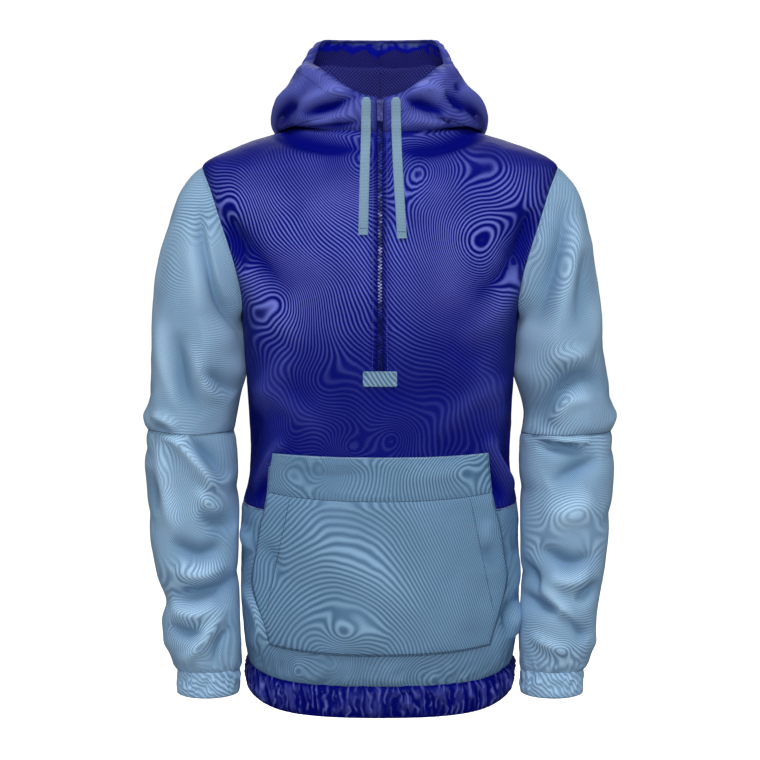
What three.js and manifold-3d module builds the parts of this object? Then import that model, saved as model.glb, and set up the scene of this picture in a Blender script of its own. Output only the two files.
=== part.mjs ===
// Half-zip hoodie, in the round hollow form it has when worn. Millimetres, +Z up, front towards -Y.
// The origin is the middle of the neck base, between the shoulder seams. "Left" is the -X side.
// Each cloth piece is a thin closed wall, and neighbouring pieces stay SEAM_GAP apart.
import * as THREE from "three";
import { mergeVertices } from "three/addons/utils/BufferGeometryUtils.js";
import Module from "manifold-3d";

const wasm = await Module();
wasm.setup();

// ---------------------------------------------------------------- driving sizes
const WALL = 2;
const SEAM_GAP = 0.3;
const TRIM_WALL = 1;

const UNDERARM_Z = -225;
const SHOULDER_TIP_Z = -47;
const WAIST_Z = -446;
const HEM_TOP_Z = -638;
const HEM_BOTTOM_Z = -671;
const HEM_TOP_DROOP = 9;
const HEM_BOTTOM_DROOP = 15;
const BACK_DROOP = 0.4;

const SLIT_HALF = 4;
const SLIT_BOTTOM_Z = -283;
const ZIP_TOP_Z = 32;

// How far the armhole cuts into each body panel, as a share of its quarter turn.
const ARMHOLE_CUT_FRONT = 0.29;
const ARMHOLE_CUT_BACK = 0.24;
const ARMHOLE_BLUNTNESS = 0.8;
// How soon the panel's columns stop following the armhole: a higher power keeps the inner ones upright.
const EDGE_PULL = 3;
// The sleeve row whose direction is averaged with the body's along the armhole seam.
const ARMHOLE_BLEND = 1;
const ARMHOLE_GAP = 0.5;

// Grid steps of the faceted cloth.
const BODY_COLUMNS = 7;
const LOWER_COLUMNS = 7;
const LOWER_ROWS = 6;
const ARMHOLE_ROWS = 8;
const HEM_COLUMNS = 4 * LOWER_COLUMNS;
const HEM_ROWS = 2;

// Level sections of the body: half width, front and back depth, and how square the section is.
const BODY_SECTIONS = [
  { z: 14, half: 76, front: -60, back: 63, square: 2.0 },
  { z: 5, half: 90, front: -72, back: 69, square: 2.0 },
  { z: -2, half: 101, front: -78, back: 73, square: 1.85 },
  { z: -9, half: 124, front: -82, back: 77, square: 1.62 },
  { z: -18, half: 155, front: -87, back: 82, square: 1.66 },
  { z: -28, half: 181, front: -92, back: 87, square: 1.78 },
  { z: -37, half: 200, front: -96, back: 91, square: 1.9 },
  { z: -47, half: 211, front: -100, back: 95, square: 2.05 },
  { z: -77, half: 209, front: -108, back: 105, square: 2.2 },
  { z: -110, half: 203, front: -114, back: 112, square: 2.28 },
  { z: -150, half: 189, front: -119, back: 117, square: 2.36 },
  { z: -190, half: 174, front: -122, back: 118, square: 2.4 },
  { z: -225, half: 165, front: -123, back: 115, square: 2.4 },
  { z: -260, half: 162, front: -122, back: 111, square: 2.4 },
  { z: -305, half: 160, front: -119, back: 103, square: 2.4 },
  { z: -340, half: 157, front: -117, back: 98, square: 2.4 },
  { z: -385, half: 158, front: -115, back: 95, square: 2.4 },
  { z: -415, half: 156, front: -114, back: 94, square: 2.4 },
  { z: -446, half: 166, front: -116, back: 98, square: 2.35 },
  { z: -470, half: 168, front: -117, back: 99, square: 2.35 },
  { z: -520, half: 168, front: -119, back: 104, square: 2.4 },
  { z: -560, half: 169, front: -121, back: 109, square: 2.45 },
  { z: -600, half: 165, front: -121, back: 111, square: 2.45 },
  { z: -622, half: 168, front: -122, back: 112, square: 2.45 },
  { z: -640, half: 162, front: -117, back: 107, square: 2.4 },
  { z: -660, half: 165, front: -118, back: 107, square: 2.4 },
  { z: -690, half: 161, front: -113, back: 103, square: 2.4 },
];

// Sections of each sleeve, from the armhole to the cuff's edge: height and place of its outer and inner edge.
const SLEEVE_SECTIONS = {
  left: [
    { outerZ: -47, innerZ: -225, inner: 165, outer: 211 },
    { outerZ: -72, innerZ: -232, inner: 167.5, outer: 234.5 },
    { outerZ: -112, innerZ: -239, inner: 168, outer: 249 },
    { outerZ: -165, innerZ: -251, inner: 167, outer: 261 },
    { outerZ: -225, innerZ: -270, inner: 165.5, outer: 267.5 },
    { outerZ: -284, innerZ: -298, inner: 164.5, outer: 270 },
    { outerZ: -335, innerZ: -332, inner: 168.5, outer: 280.5 },
    { outerZ: -358, innerZ: -360, inner: 173.5, outer: 277.5 },
    { outerZ: -386, innerZ: -386, inner: 170, outer: 281.5 },
    { outerZ: -436, innerZ: -436, inner: 169, outer: 278.5 },
    { outerZ: -500, innerZ: -500, inner: 169, outer: 274 },
    { outerZ: -545, innerZ: -545, inner: 168.5, outer: 263.5 },
    { outerZ: -566, innerZ: -566, inner: 168, outer: 254.5 },
    { outerZ: -584, innerZ: -584, inner: 168, outer: 262.5 },
    { outerZ: -622, innerZ: -622, inner: 165.5, outer: 254 },
    { outerZ: -645, innerZ: -645, inner: 167, outer: 244.5 },
    { outerZ: -670, innerZ: -670, inner: 167.5, outer: 244.5 },
  ],
  right: [
    { outerZ: -47, innerZ: -225, inner: 165, outer: 211 },
    { outerZ: -72, innerZ: -232, inner: 167.5, outer: 232.5 },
    { outerZ: -112, innerZ: -239, inner: 168, outer: 245.5 },
    { outerZ: -165, innerZ: -251, inner: 167, outer: 252.5 },
    { outerZ: -225, innerZ: -270, inner: 165.5, outer: 259.5 },
    { outerZ: -284, innerZ: -298, inner: 164.5, outer: 269 },
    { outerZ: -332, innerZ: -332, inner: 171, outer: 280 },
    { outerZ: -360, innerZ: -362, inner: 167.5, outer: 276 },
    { outerZ: -390, innerZ: -390, inner: 165.5, outer: 280 },
    { outerZ: -436, innerZ: -436, inner: 167, outer: 277.5 },
    { outerZ: -500, innerZ: -500, inner: 168, outer: 272.5 },
    { outerZ: -545, innerZ: -545, inner: 168.5, outer: 265.5 },
    { outerZ: -572, innerZ: -572, inner: 167.5, outer: 260.5 },
    { outerZ: -594, innerZ: -594, inner: 166.5, outer: 259.5 },
    { outerZ: -622, innerZ: -622, inner: 166.5, outer: 255 },
    { outerZ: -645, innerZ: -645, inner: 167, outer: 245 },
    { outerZ: -670, innerZ: -670, inner: 167, outer: 244.5 },
  ],
};
// Depth of the sleeves: middle, front half and back half. The forearm swings gently forward.
const SLEEVE_DEPTH = [
  { z: -47, middle: 0, front: 60, back: 62 },
  { z: -112, middle: -5, front: 65, back: 68 },
  { z: -225, middle: -14, front: 66, back: 70 },
  { z: -358, middle: -20, front: 59, back: 62 },
  { z: -440, middle: -25, front: 55, back: 57 },
  { z: -545, middle: -37, front: 48, back: 49 },
  { z: -622, middle: -46.5, front: 41, back: 41 },
  { z: -645, middle: -49.5, front: 35, back: 35 },
  { z: -670, middle: -53, front: 34, back: 34 },
];
const CAP_ROWS = 5;
const ELBOW_ROW = 7;
const CUFF_TOP_ROW = 15;
const CUFF_BOTTOM_ROW = 16;
const UPPER_SLEEVE_STEPS = 8;
const LOWER_SLEEVE_STEPS = 12;
const CUFF_STEPS = 2;

// Loops of the hood in the order that the cloth passes them, from the neck seam to the rim. At the back the
// cloth stands up to a crest, drops into the bag and comes back up outside; at the front it just stands.
// rise: the turn by which a loop has its full back height. vee: how sharply it dips at centre front.
// lean: how far a loop sits off centre, away from its front.
const HOOD_LOOPS = [
  {
    half: 98, front: -80, middle: 0, back: 68,
    zFront: -5, zSide: -1, zBack: 9, rise: 180, vee: 2, lean: 0,
  },
  {
    half: 107, front: -82, middle: 0, back: 69,
    zFront: 4, zSide: 1, zBack: 40, rise: 150, vee: 2, lean: 0,
  },
  {
    half: 107, front: -82.5, middle: 4, back: 72,
    zFront: 10, zSide: 6, zBack: 68, rise: 132, vee: 2, lean: 0,
  },
  {
    half: 111, front: -82.5, middle: 8, back: 86,
    zFront: 14, zSide: 4, zBack: 44, rise: 150, vee: 2, lean: 0,
  },
  {
    half: 117, front: -82.5, middle: 17, back: 105,
    zFront: 17, zSide: -2, zBack: -30, rise: 180, vee: 2, lean: 0,
  },
  {
    half: 122, front: -82.5, middle: 25, back: 132,
    zFront: 19, zSide: -5, zBack: -122, rise: 180, vee: 2, lean: 0,
  },
  {
    half: 124, front: -82.5, middle: 24, back: 157,
    zFront: 21, zSide: 7, zBack: -78, rise: 180, vee: 2, lean: 0,
  },
  {
    half: 118, front: -82.5, middle: 24, back: 166,
    zFront: 24, zSide: 24, zBack: -8, rise: 180, vee: 2, lean: -2,
  },
  {
    half: 108, front: -82, middle: 20, back: 153,
    zFront: 28, zSide: 45, zBack: 50, rise: 160, vee: 2.4, lean: -3,
  },
  {
    half: 97, front: -81.5, middle: 14, back: 126,
    zFront: 31, zSide: 64, zBack: 89, rise: 138, vee: 2.8, lean: -3,
  },
  {
    half: 79, front: -81, middle: 10, back: 108,
    zFront: 33.5, zSide: 73, zBack: 103.5, rise: 124, vee: 3, lean: -2,
  },
];
const HOOD_ROWS = [0, 1, 1.6, 2, 2.5, 3, 4, 4.6, 5, 5.4, 6, 7, 8, 9, 9.6, 10];

// Kangaroo pocket outline: height and half width, from the band seam to the bottom edge.
const POCKET_OUTLINE = [
  { z: -424, half: 128 },
  { z: -445, half: 133 },
  { z: -462, half: 138.5 },
  { z: -504, half: 145 },
  { z: -526, half: 148 },
  { z: -548, half: 143.5 },
  { z: -567, half: 138 },
  { z: -580, half: 134 },
  { z: -604, half: 127 },
];
const POCKET_COLUMNS = 12;
const POCKET_BOTTOM_DROOP = 4;
const BAND_TOP_Z = -376;
const BAND_TOP_HALF = 121;
const BAND_DROOP = 3.5;
const BAND_ROWS = 2;
const POCKET_LIFT = 2.6;

const PATCH = { half: 18.5, top: -276, bottom: -292, lift: 0.6 };
const CHAIN = { half: 2.8, wall: 1.8, sunk: 0.2, clear: 0.8, rows: 18 };
const TAPE = { inner: 0.4, outer: 12, rows: 16, gap: 1.9, curveRoom: 1.5, below: 7 };
const SLIDER = { z: 26.5, width: 8.4, height: 11, thick: 2.6, taper: 1.4, clear: 0.4 };
const BRIDGE = { inner: 1.25, outer: 2.25, width: 2, reach: 1.5, root: 0.3, up: 1.5 };
const PULL = { width: 6.6, length: 21, thick: 1.4, eyeHalf: 1.7, eyeTop: 0.7, eyeBottom: 3.8, round: 1.6 };

// Flat hood cords: width, thickness and the hand-laid route of each, from its slot to its free end.
const CORD = { width: 11, thick: 1.6, corner: 0.5, steps: 18 };
const CORD_ROUTES = {
  left: [
    [-15.6, -82.9, 33.5], [-15.6, -84.6, 32.5], [-15.7, -85.4, 28], [-15.8, -85.6, 20], [-15.9, -85.8, 11],
    [-16.0, -87.9, 1], [-16.2, -88.6, -9], [-16.5, -91.2, -19], [-16.8, -95.6, -30], [-17.1, -100.0, -41],
    [-17.4, -103.4, -52], [-17.8, -106.6, -64], [-18.1, -109.6, -77], [-18.4, -112.2, -91],
    [-18.7, -114.8, -106], [-19.0, -117.0, -120],
  ],
  right: [
    [18.0, -82.7, 33.5], [18.0, -84.4, 32.5], [18.0, -85.2, 28], [18.1, -85.4, 20], [18.2, -85.7, 11],
    [18.4, -87.9, 1], [18.7, -88.6, -9], [19.1, -91.2, -19], [19.5, -95.6, -30], [20.0, -100.0, -41],
    [20.6, -103.4, -52], [21.3, -106.6, -64], [22.1, -109.6, -77], [23.0, -112.2, -91],
    [23.9, -114.8, -106], [24.8, -117.3, -124],
  ],
};

const ROYAL = new THREE.Color(0.03, 0.045, 0.24);
const LIGHT = new THREE.Color(0.2, 0.32, 0.46);

// The largest folds: a soft ridge (+) or trough (-) along a line between two points, seen from in front.
const BODY_FOLDS = [
  { x0: -112, z0: -362, x1: -148, z1: -428, reach: 15, lift: 5 },
  { x0: 124, z0: -362, x1: 155, z1: -430, reach: 15, lift: 5 },
  { x0: -155, z0: -540, x1: -146, z1: -606, reach: 14, lift: 4 },
  { x0: 163, z0: -560, x1: 150, z1: -606, reach: 13, lift: 4 },
];
const SLEEVE_FOLDS = {
  left: [
    { x0: -208, z0: -105, x1: -170, z1: -240, reach: 14, lift: -5 },
    { x0: -238, z0: -244, x1: -206, z1: -328, reach: 16, lift: -5 },
    { x0: -236, z0: -352, x1: -176, z1: -420, reach: 16, lift: 6 },
    { x0: -240, z0: -491, x1: -186, z1: -482, reach: 14, lift: -6 },
    { x0: -242, z0: -548, x1: -180, z1: -552, reach: 14, lift: -6 },
  ],
  right: [
    { x0: 218, z0: -90, x1: 180, z1: -235, reach: 14, lift: -5 },
    { x0: 188, z0: -342, x1: 216, z1: -298, reach: 14, lift: -5 },
    { x0: 216, z0: -298, x1: 262, z1: -300, reach: 14, lift: -6 },
    { x0: 192, z0: -378, x1: 238, z1: -372, reach: 14, lift: -6 },
    { x0: 192, z0: -500, x1: 250, z1: -484, reach: 14, lift: -6 },
    { x0: 172, z0: -546, x1: 212, z1: -556, reach: 13, lift: -5 },
  ],
};

// ---------------------------------------------------------------- small helpers
const radians = THREE.MathUtils.degToRad;
const mix = THREE.MathUtils.lerp;
const power = (value, exponent) => Math.abs(value) ** exponent;

// A table's row at any value of its key, on a smooth curve through the rows.
function rowAt(table, key, value) {
  const rising = table[table.length - 1][key] > table[0][key];
  const after = table.findIndex((row) => (rising ? row[key] >= value : row[key] <= value));
  const upper = after < 0 ? table.length - 1 : Math.max(after, 1);
  const from = table[upper - 1][key];
  return blendRows(table, upper - 1, (value - from) / (table[upper][key] - from));
}

// A table's row at a fractional row number.
function rowNumber(table, number) {
  const lower = Math.min(Math.floor(number), table.length - 2);
  return blendRows(table, lower, number - lower);
}

function blendRows(table, lower, share) {
  const t = THREE.MathUtils.clamp(share, 0, 1);
  const before = table[Math.max(lower - 1, 0)];
  const from = table[lower];
  const to = table[lower + 1];
  const beyond = table[Math.min(lower + 2, table.length - 1)];
  const row = {};
  for (const name of Object.keys(from)) {
    const leave = (to[name] - before[name]) / 2;
    const arrive = (beyond[name] - from[name]) / 2;
    const bend = (3 * t ** 2 - 2 * t ** 3) * (to[name] - from[name]);
    row[name] = from[name] + bend + (t - 2 * t ** 2 + t ** 3) * leave + (t ** 3 - t ** 2) * arrive;
  }
  return row;
}

// How far the folds lift the cloth at a point of the front.
function foldLift(folds, point) {
  let lift = 0;
  for (const fold of folds) {
    const along = new THREE.Vector2(fold.x1 - fold.x0, fold.z1 - fold.z0);
    const away = new THREE.Vector2(point.x - fold.x0, point.z - fold.z0);
    const share = THREE.MathUtils.clamp(away.dot(along) / along.lengthSq(), 0, 1);
    const distance = away.addScaledVector(along, -share).length();
    lift += fold.lift * Math.exp(-((distance / fold.reach) ** 2));
  }
  return lift;
}

// The outward direction of a surface given as a function of two numbers.
function surfaceNormal(surface, u, v, stepU, stepV) {
  const acrossU = surface(u + stepU, v).sub(surface(u - stepU, v));
  const acrossV = surface(u, v + stepV).sub(surface(u, v - stepV));
  return acrossU.cross(acrossV).normalize();
}

function bothWays(first, second) {
  const sum = first.clone().add(second);
  return sum.length() < 0.05 ? new THREE.Vector3(0, 0, -1) : sum.normalize();
}

// ---------------------------------------------------------------- body surface
// turn: degrees round the body from centre front, + towards +X, 180 at centre back.
function bodyPoint(turn, z) {
  const section = rowAt(BODY_SECTIONS, "z", z);
  const across = Math.sin(radians(turn));
  const ahead = Math.cos(radians(turn));
  const round = 2 / section.square;
  const depth = ahead > 0 ? section.front : section.back;
  const x = section.half * Math.sign(across) * power(across, round);
  return new THREE.Vector3(x, depth * power(ahead, round), z);
}

const bodyNormal = (turn, z) => surfaceNormal(bodyPoint, turn, z, 1.5, 2);

function bodyNode(turn, z, lift = 0) {
  const point = bodyPoint(turn, z);
  const normal = bodyNormal(turn, z);
  const front = THREE.MathUtils.clamp(-normal.y * 2, 0, 1);
  point.addScaledVector(normal, lift + front * foldLift(BODY_FOLDS, point));
  return { point, normal };
}

// The turn at which the body's surface has a given distance from the middle.
function turnAtWidth(x, z) {
  const section = rowAt(BODY_SECTIONS, "z", z);
  return THREE.MathUtils.radToDeg(Math.asin(Math.min(x / section.half, 1) ** (section.square / 2)));
}

// ---------------------------------------------------------------- armholes
const armholeZ = (angle) => mix(UNDERARM_Z, SHOULDER_TIP_Z, (1 - Math.cos(radians(angle))) / 2);

// Turn of the panel's side edge: the side seam, the armhole's curve, or the shoulder seam.
function edgeTurn(z, face) {
  const height = THREE.MathUtils.clamp((z - UNDERARM_Z) / (SHOULDER_TIP_Z - UNDERARM_Z), 0, 1);
  const bow = Math.sin(Math.acos(1 - 2 * height)) ** ARMHOLE_BLUNTNESS;
  return face < 0 ? 90 * (1 - ARMHOLE_CUT_FRONT * bow) : 180 - 90 * (1 - ARMHOLE_CUT_BACK * bow);
}

// Angle round the armhole: 0 under the arm, 90 in front, 180 at the shoulder tip, 270 behind.
function armholePoint(side, angle) {
  const z = armholeZ(angle);
  return bodyPoint(side * edgeTurn(z, angle <= 180 ? -1 : 1), z);
}

function armholeNormal(side, angle) {
  const z = armholeZ(angle);
  const body = bodyNormal(side * edgeTurn(z, angle <= 180 ? -1 : 1), z);
  return bothWays(body, sleeveNormal(side, angle, ARMHOLE_BLEND));
}

// ---------------------------------------------------------------- sleeve surface
function sleeveEllipse(side, angle, row) {
  const { outerZ, innerZ, inner, outer } = rowNumber(SLEEVE_SECTIONS[side < 0 ? "left" : "right"], row);
  const depth = rowAt(SLEEVE_DEPTH, "z", outerZ);
  const swing = (depth.middle - rowAt(SLEEVE_DEPTH, "z", outerZ - 1).middle) || 0;
  const c = Math.cos(radians(angle));
  const s = Math.sin(radians(angle));
  const y = -s * (s > 0 ? depth.front : depth.back);
  const x = (inner + outer) / 2 - (c * (outer - inner)) / 2;
  const z = (innerZ + outerZ) / 2 + (c * (innerZ - outerZ)) / 2 - y * swing;
  return new THREE.Vector3(side * x, depth.middle + y, z);
}

function sleevePoint(side, angle, row) {
  const point = sleeveEllipse(side, angle, row);
  const pull = Math.max(0, 1 - row / CAP_ROWS) ** 2;
  if (pull === 0) return point;
  const turned = ((angle % 360) + 360) % 360;
  const seam = armholePoint(side, turned).sub(sleeveEllipse(side, turned, 0));
  return point.addScaledVector(seam, pull);
}

function sleeveNormal(side, angle, row) {
  const surface = (a, r) => sleevePoint(side, a, Math.max(r, 0));
  return surfaceNormal(surface, angle, row, 3, 0.15).multiplyScalar(-side);
}

function sleeveNode(side, angle, row) {
  const point = sleevePoint(side, angle, row);
  const normal = row === 0 ? armholeNormal(side, angle) : sleeveNormal(side, angle, row);
  const front = THREE.MathUtils.clamp(-normal.y * 2, 0, 1) * Math.min(row, 1);
  point.addScaledVector(normal, front * foldLift(SLEEVE_FOLDS[side < 0 ? "left" : "right"], point));
  return { point, normal };
}

// ---------------------------------------------------------------- hood surface
function hoodPoint(turn, loop) {
  const row = rowNumber(HOOD_LOOPS, loop);
  const across = Math.sin(radians(turn));
  const ahead = Math.cos(radians(turn));
  const y = row.middle + ahead * (ahead > 0 ? row.front - row.middle : row.middle - row.back);
  const size = Math.abs(turn) > 180 ? 360 - Math.abs(turn) : Math.abs(turn);
  const rise = THREE.MathUtils.smoothstep(size, 90, row.rise);
  const dip = size < 90 ? power(ahead, row.vee) : 0;
  const z = row.zSide + dip * (row.zFront - row.zSide) + rise * (row.zBack - row.zSide);
  return new THREE.Vector3(row.half * across + row.lean * (1 - dip), y, z);
}

function hoodNormal(turn, loop) {
  const last = HOOD_LOOPS.length - 1;
  return surfaceNormal((t, l) => hoodPoint(t, THREE.MathUtils.clamp(l, 0, last)), turn, loop, 2, 0.1);
}

const neckNormal = (turn) => bothWays(bodyNormal(turn, hoodPoint(turn, 0).z - 2), hoodNormal(turn, 0));

// ---------------------------------------------------------------- cloth walls
// Pulls the edges of a grid in by half a seam gap. A closed grid has only its two end rows pulled in.
function insetEdges(grid, closed = false, gap = SEAM_GAP) {
  const moved = grid.map((row) => row.map((node) => ({ ...node, point: node.point.clone() })));
  const last = grid.length - 1;
  const pull = (node, from, towards) => {
    const way = towards.point.clone().sub(from.point).setLength(gap / 2);
    node.point.add(way);
  };
  grid[0].forEach((node, column) => {
    pull(moved[0][column], node, grid[1][column]);
    pull(moved[last][column], grid[last][column], grid[last - 1][column]);
  });
  if (closed) return moved;
  grid.forEach((row, r) => {
    const end = row.length - 1;
    pull(moved[r][0], row[0], row[1]);
    pull(moved[r][end], row[end], row[end - 1]);
  });
  return moved;
}

// A closed thin wall: the grid's points are its outer skin, and the inner skin lies one wall inside.
function clothWall(grid, { wall = WALL, closed = false, present = () => true } = {}) {
  const columns = grid[0].length;
  const nodes = grid.flat();
  const outer = nodes.map((node) => node.point);
  const inner = nodes.map((node) => node.point.clone().addScaledVector(node.normal, -wall));
  const index = (row, column, skin) => row * columns + (column % columns) + skin * nodes.length;
  const cellsAcross = closed ? columns : columns - 1;
  const filled = (row, column) => {
    const wrapped = closed ? (column + columns) % columns : column;
    const inside = row >= 0 && row < grid.length - 1 && wrapped >= 0 && wrapped < cellsAcross;
    return inside && present(row, wrapped);
  };
  const triangles = [];
  const addQuad = (a, b, c, d) => triangles.push(a, b, c, a, c, d);
  for (let row = 0; row < grid.length - 1; row += 1) {
    for (let column = 0; column < cellsAcross; column += 1) {
      if (!filled(row, column)) continue;
      const corners = [[row, column], [row, column + 1], [row + 1, column + 1], [row + 1, column]];
      const beyond = [[row - 1, column], [row, column + 1], [row + 1, column], [row, column - 1]];
      addQuad(...corners.map(([r, c]) => index(r, c, 0)));
      addQuad(...corners.map(([r, c]) => index(r, c, 1)).reverse());
      corners.forEach(([r, c], edge) => {
        const [nextRow, nextColumn] = corners[(edge + 1) % 4];
        if (filled(...beyond[edge])) return;
        addQuad(index(nextRow, nextColumn, 0), index(r, c, 0), index(r, c, 1), index(nextRow, nextColumn, 1));
      });
    }
  }
  return solidFrom([...outer, ...inner], triangles);
}

// A geometry of these points and triangles, with its faces turned outwards.
function solidFrom(points, triangles) {
  const geometry = new THREE.BufferGeometry();
  const numbers = points.flatMap((point) => point.toArray());
  geometry.setAttribute("position", new THREE.Float32BufferAttribute(numbers, 3));
  geometry.setIndex(signedVolume(points, triangles) < 0 ? triangles.slice().reverse() : triangles);
  const flat = geometry.toNonIndexed();
  flat.computeVertexNormals();
  return flat;
}

function signedVolume(points, triangles) {
  let volume = 0;
  for (let i = 0; i < triangles.length; i += 3) {
    const [a, b, c] = triangles.slice(i, i + 3).map((n) => points[n]);
    volume += a.dot(b.clone().cross(c)) / 6;
  }
  return volume;
}

const steps = (count) => Array.from({ length: count + 1 }, (_, i) => i / count);

// ---------------------------------------------------------------- body panels
const armholeAngles = steps(ARMHOLE_ROWS).map((share) => share * 180);
const shoulderRows = [-38, -28.5, -18.5, -10];
const lowerUpperRows = [WAIST_Z, -405, -363, -322, SLIT_BOTTOM_Z, -254];
const neckTurn = (side, share) => side * mix(slitTurnOfLoop(0), 90, share);

function slitTurnOfLoop(loop) {
  return THREE.MathUtils.radToDeg(Math.asin(SLIT_HALF / rowNumber(HOOD_LOOPS, loop).half));
}

// Nodes of one upper panel row, from the left edge to the right edge.
function upperRow(z, face, angle) {
  return [-1, 1].flatMap((side) => {
    const shares = steps(BODY_COLUMNS).slice(face > 0 && side > 0 ? 1 : 0);
    const row = shares.map((share) => {
      const middle = face < 0 ? turnAtWidth(SLIT_HALF, z) : 180;
      const turn = mix(middle, 90, share) + (edgeTurn(z, face) - 90) * share ** EDGE_PULL;
      const node = bodyNode(side * turn, z);
      const onArmhole = angle !== undefined && share === 1;
      return onArmhole ? { point: armholePoint(side, angle), normal: armholeNormal(side, angle) } : node;
    });
    return side < 0 ? row.reverse() : row;
  });
}

function neckRow(face) {
  return [-1, 1].flatMap((side) => {
    const shares = steps(BODY_COLUMNS).slice(face > 0 && side > 0 ? 1 : 0);
    const row = shares.map((share) => {
      const turn = face < 0 ? neckTurn(side, share) : side * mix(180, 90, share);
      return { point: hoodPoint(turn, 0), normal: neckNormal(turn) };
    });
    return side < 0 ? row.reverse() : row;
  });
}

function upperPanel(face) {
  const angles = armholeAngles.map((angle) => (face < 0 ? angle : (360 - angle) % 360));
  const grid = [
    ...lowerUpperRows.map((z) => upperRow(z, face)),
    ...angles.map((angle) => upperRow(armholeZ(angle), face, angle)),
    ...shoulderRows.map((z) => upperRow(z, face)),
    neckRow(face),
  ];
  const slitRow = lowerUpperRows.indexOf(SLIT_BOTTOM_Z);
  const present = face < 0 ? (row, column) => column !== BODY_COLUMNS || row < slitRow : () => true;
  return clothWall(insetEdges(grid), { present });
}

// The hem hangs a little lower in front than at the sides, and least so behind.
function droop(turn) {
  const share = 1 - Math.sin(radians(turn)) ** 6;
  return Math.cos(radians(turn)) > 0 ? share : share * BACK_DROOP;
}
const hemTopZ = (turn) => HEM_TOP_Z - HEM_TOP_DROOP * droop(turn);
const hemBottomZ = (turn) => HEM_BOTTOM_Z - HEM_BOTTOM_DROOP * droop(turn);

function lowerPanel(middleTurn) {
  const grid = steps(LOWER_ROWS).map((down) =>
    steps(2 * LOWER_COLUMNS).map((share) => {
      const turn = middleTurn + mix(-90, 90, share);
      return bodyNode(turn, mix(WAIST_Z, hemTopZ(turn), down));
    }),
  );
  return clothWall(insetEdges(grid));
}

function hemBand() {
  const grid = steps(HEM_ROWS).map((down) =>
    steps(HEM_COLUMNS).slice(0, -1).map((share) => {
      const turn = share * 360;
      return bodyNode(turn, mix(hemTopZ(turn), hemBottomZ(turn), down));
    }),
  );
  return clothWall(insetEdges(grid, true), { closed: true });
}

// ---------------------------------------------------------------- sleeves and hood
function sleeveStretch(side, from, to, count) {
  const grid = steps(count).map((share) =>
    steps(2 * ARMHOLE_ROWS).slice(0, -1).map((round) => sleeveNode(side, round * 360, mix(from, to, share))),
  );
  const gap = from === 0 ? ARMHOLE_GAP : SEAM_GAP;
  return clothWall(insetEdges(grid, true, gap), { closed: true });
}

function hoodHalf(side) {
  const grid = HOOD_ROWS.map((loop) => {
    const front = steps(BODY_COLUMNS).map((share) => mix(slitTurnOfLoop(loop), 90, share));
    const back = steps(BODY_COLUMNS).slice(1).map((share) => mix(90, 180, share));
    return [...front, ...back].map((turn) => ({
      point: hoodPoint(side * turn, loop),
      normal: loop === 0 ? neckNormal(side * turn) : hoodNormal(side * turn, loop),
    }));
  });
  return clothWall(insetEdges(grid));
}

// ---------------------------------------------------------------- what lies on the front
const laidAt = (x, z, lift) => bodyNode(Math.sign(x) * turnAtWidth(Math.abs(x), z), z, lift);

function pocketPanel() {
  const last = POCKET_OUTLINE.length - 1;
  const grid = steps(last).map((down) => {
    const { z, half } = POCKET_OUTLINE[down * last];
    const sag = mix(BAND_DROOP, POCKET_BOTTOM_DROOP, down);
    return steps(POCKET_COLUMNS).map((share) => {
      const across = 2 * share - 1;
      return laidAt(across * half, z - sag * (1 - across ** 2), POCKET_LIFT + WALL);
    });
  });
  return clothWall(insetEdges(grid));
}

function pocketBand() {
  const grid = steps(BAND_ROWS).map((down) => {
    const half = mix(BAND_TOP_HALF, POCKET_OUTLINE[0].half, down);
    const z = mix(BAND_TOP_Z, POCKET_OUTLINE[0].z, down);
    return steps(POCKET_COLUMNS).map((share) => {
      const across = 2 * share - 1;
      return laidAt(across * half, z - BAND_DROOP * down * (1 - across ** 2), POCKET_LIFT + WALL);
    });
  });
  return clothWall(insetEdges(grid));
}

function zipPatch() {
  const grid = [PATCH.top, PATCH.bottom].map((z) =>
    steps(4).map((share) => laidAt((2 * share - 1) * PATCH.half, z, PATCH.lift + TRIM_WALL)),
  );
  return clothWall(grid, { wall: TRIM_WALL });
}

// ---------------------------------------------------------------- zip
// Depth of the garment's centre front line: the body below the neck seam, the hood above it.
function centreFrontY(z) {
  if (z < HOOD_LOOPS[0].zFront) return bodyPoint(0, z).y;
  return rowAt(HOOD_LOOPS, "zFront", z).front;
}

function stripNode(x, z, inwards) {
  const slope = (centreFrontY(z + 1) - centreFrontY(z - 1)) / 2;
  const normal = new THREE.Vector3(0, -1, slope).normalize();
  return { point: new THREE.Vector3(x, centreFrontY(z) + inwards, z), normal };
}

function zipChain() {
  const grid = steps(CHAIN.rows).map((down) => {
    const z = mix(ZIP_TOP_Z, SLIT_BOTTOM_Z + CHAIN.clear, down);
    return [-CHAIN.half, CHAIN.half].map((x) => stripNode(x, z, CHAIN.sunk));
  });
  return clothWall(grid, { wall: CHAIN.wall });
}

function zipTape(side) {
  const grid = steps(TAPE.rows).map((down) => {
    const z = mix(ZIP_TOP_Z, SLIT_BOTTOM_Z - TAPE.below, down);
    return [TAPE.inner, TAPE.outer].map((x) => {
      const back = WALL + TAPE.gap + TAPE.curveRoom * (x / TAPE.outer) ** 2;
      return stripNode(side * x, z, back);
    });
  });
  return clothWall(grid, { wall: TRIM_WALL });
}

const sliderBackY = () => centreFrontY(SLIDER.z) - SLIDER.clear;
const sliderFrontY = () => sliderBackY() - SLIDER.thick;
const pivotY = () => sliderFrontY() - BRIDGE.reach;
const pivotZ = SLIDER.z + BRIDGE.up;

// An outline drawn from in front (x, z), given a thickness from y = back towards -Y.
function plate(shape, thick, back, z) {
  const geometry = new THREE.ExtrudeGeometry(shape, { depth: thick, bevelEnabled: false, curveSegments: 4 });
  return geometry.rotateX(Math.PI / 2).translate(0, back, z);
}

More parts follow.
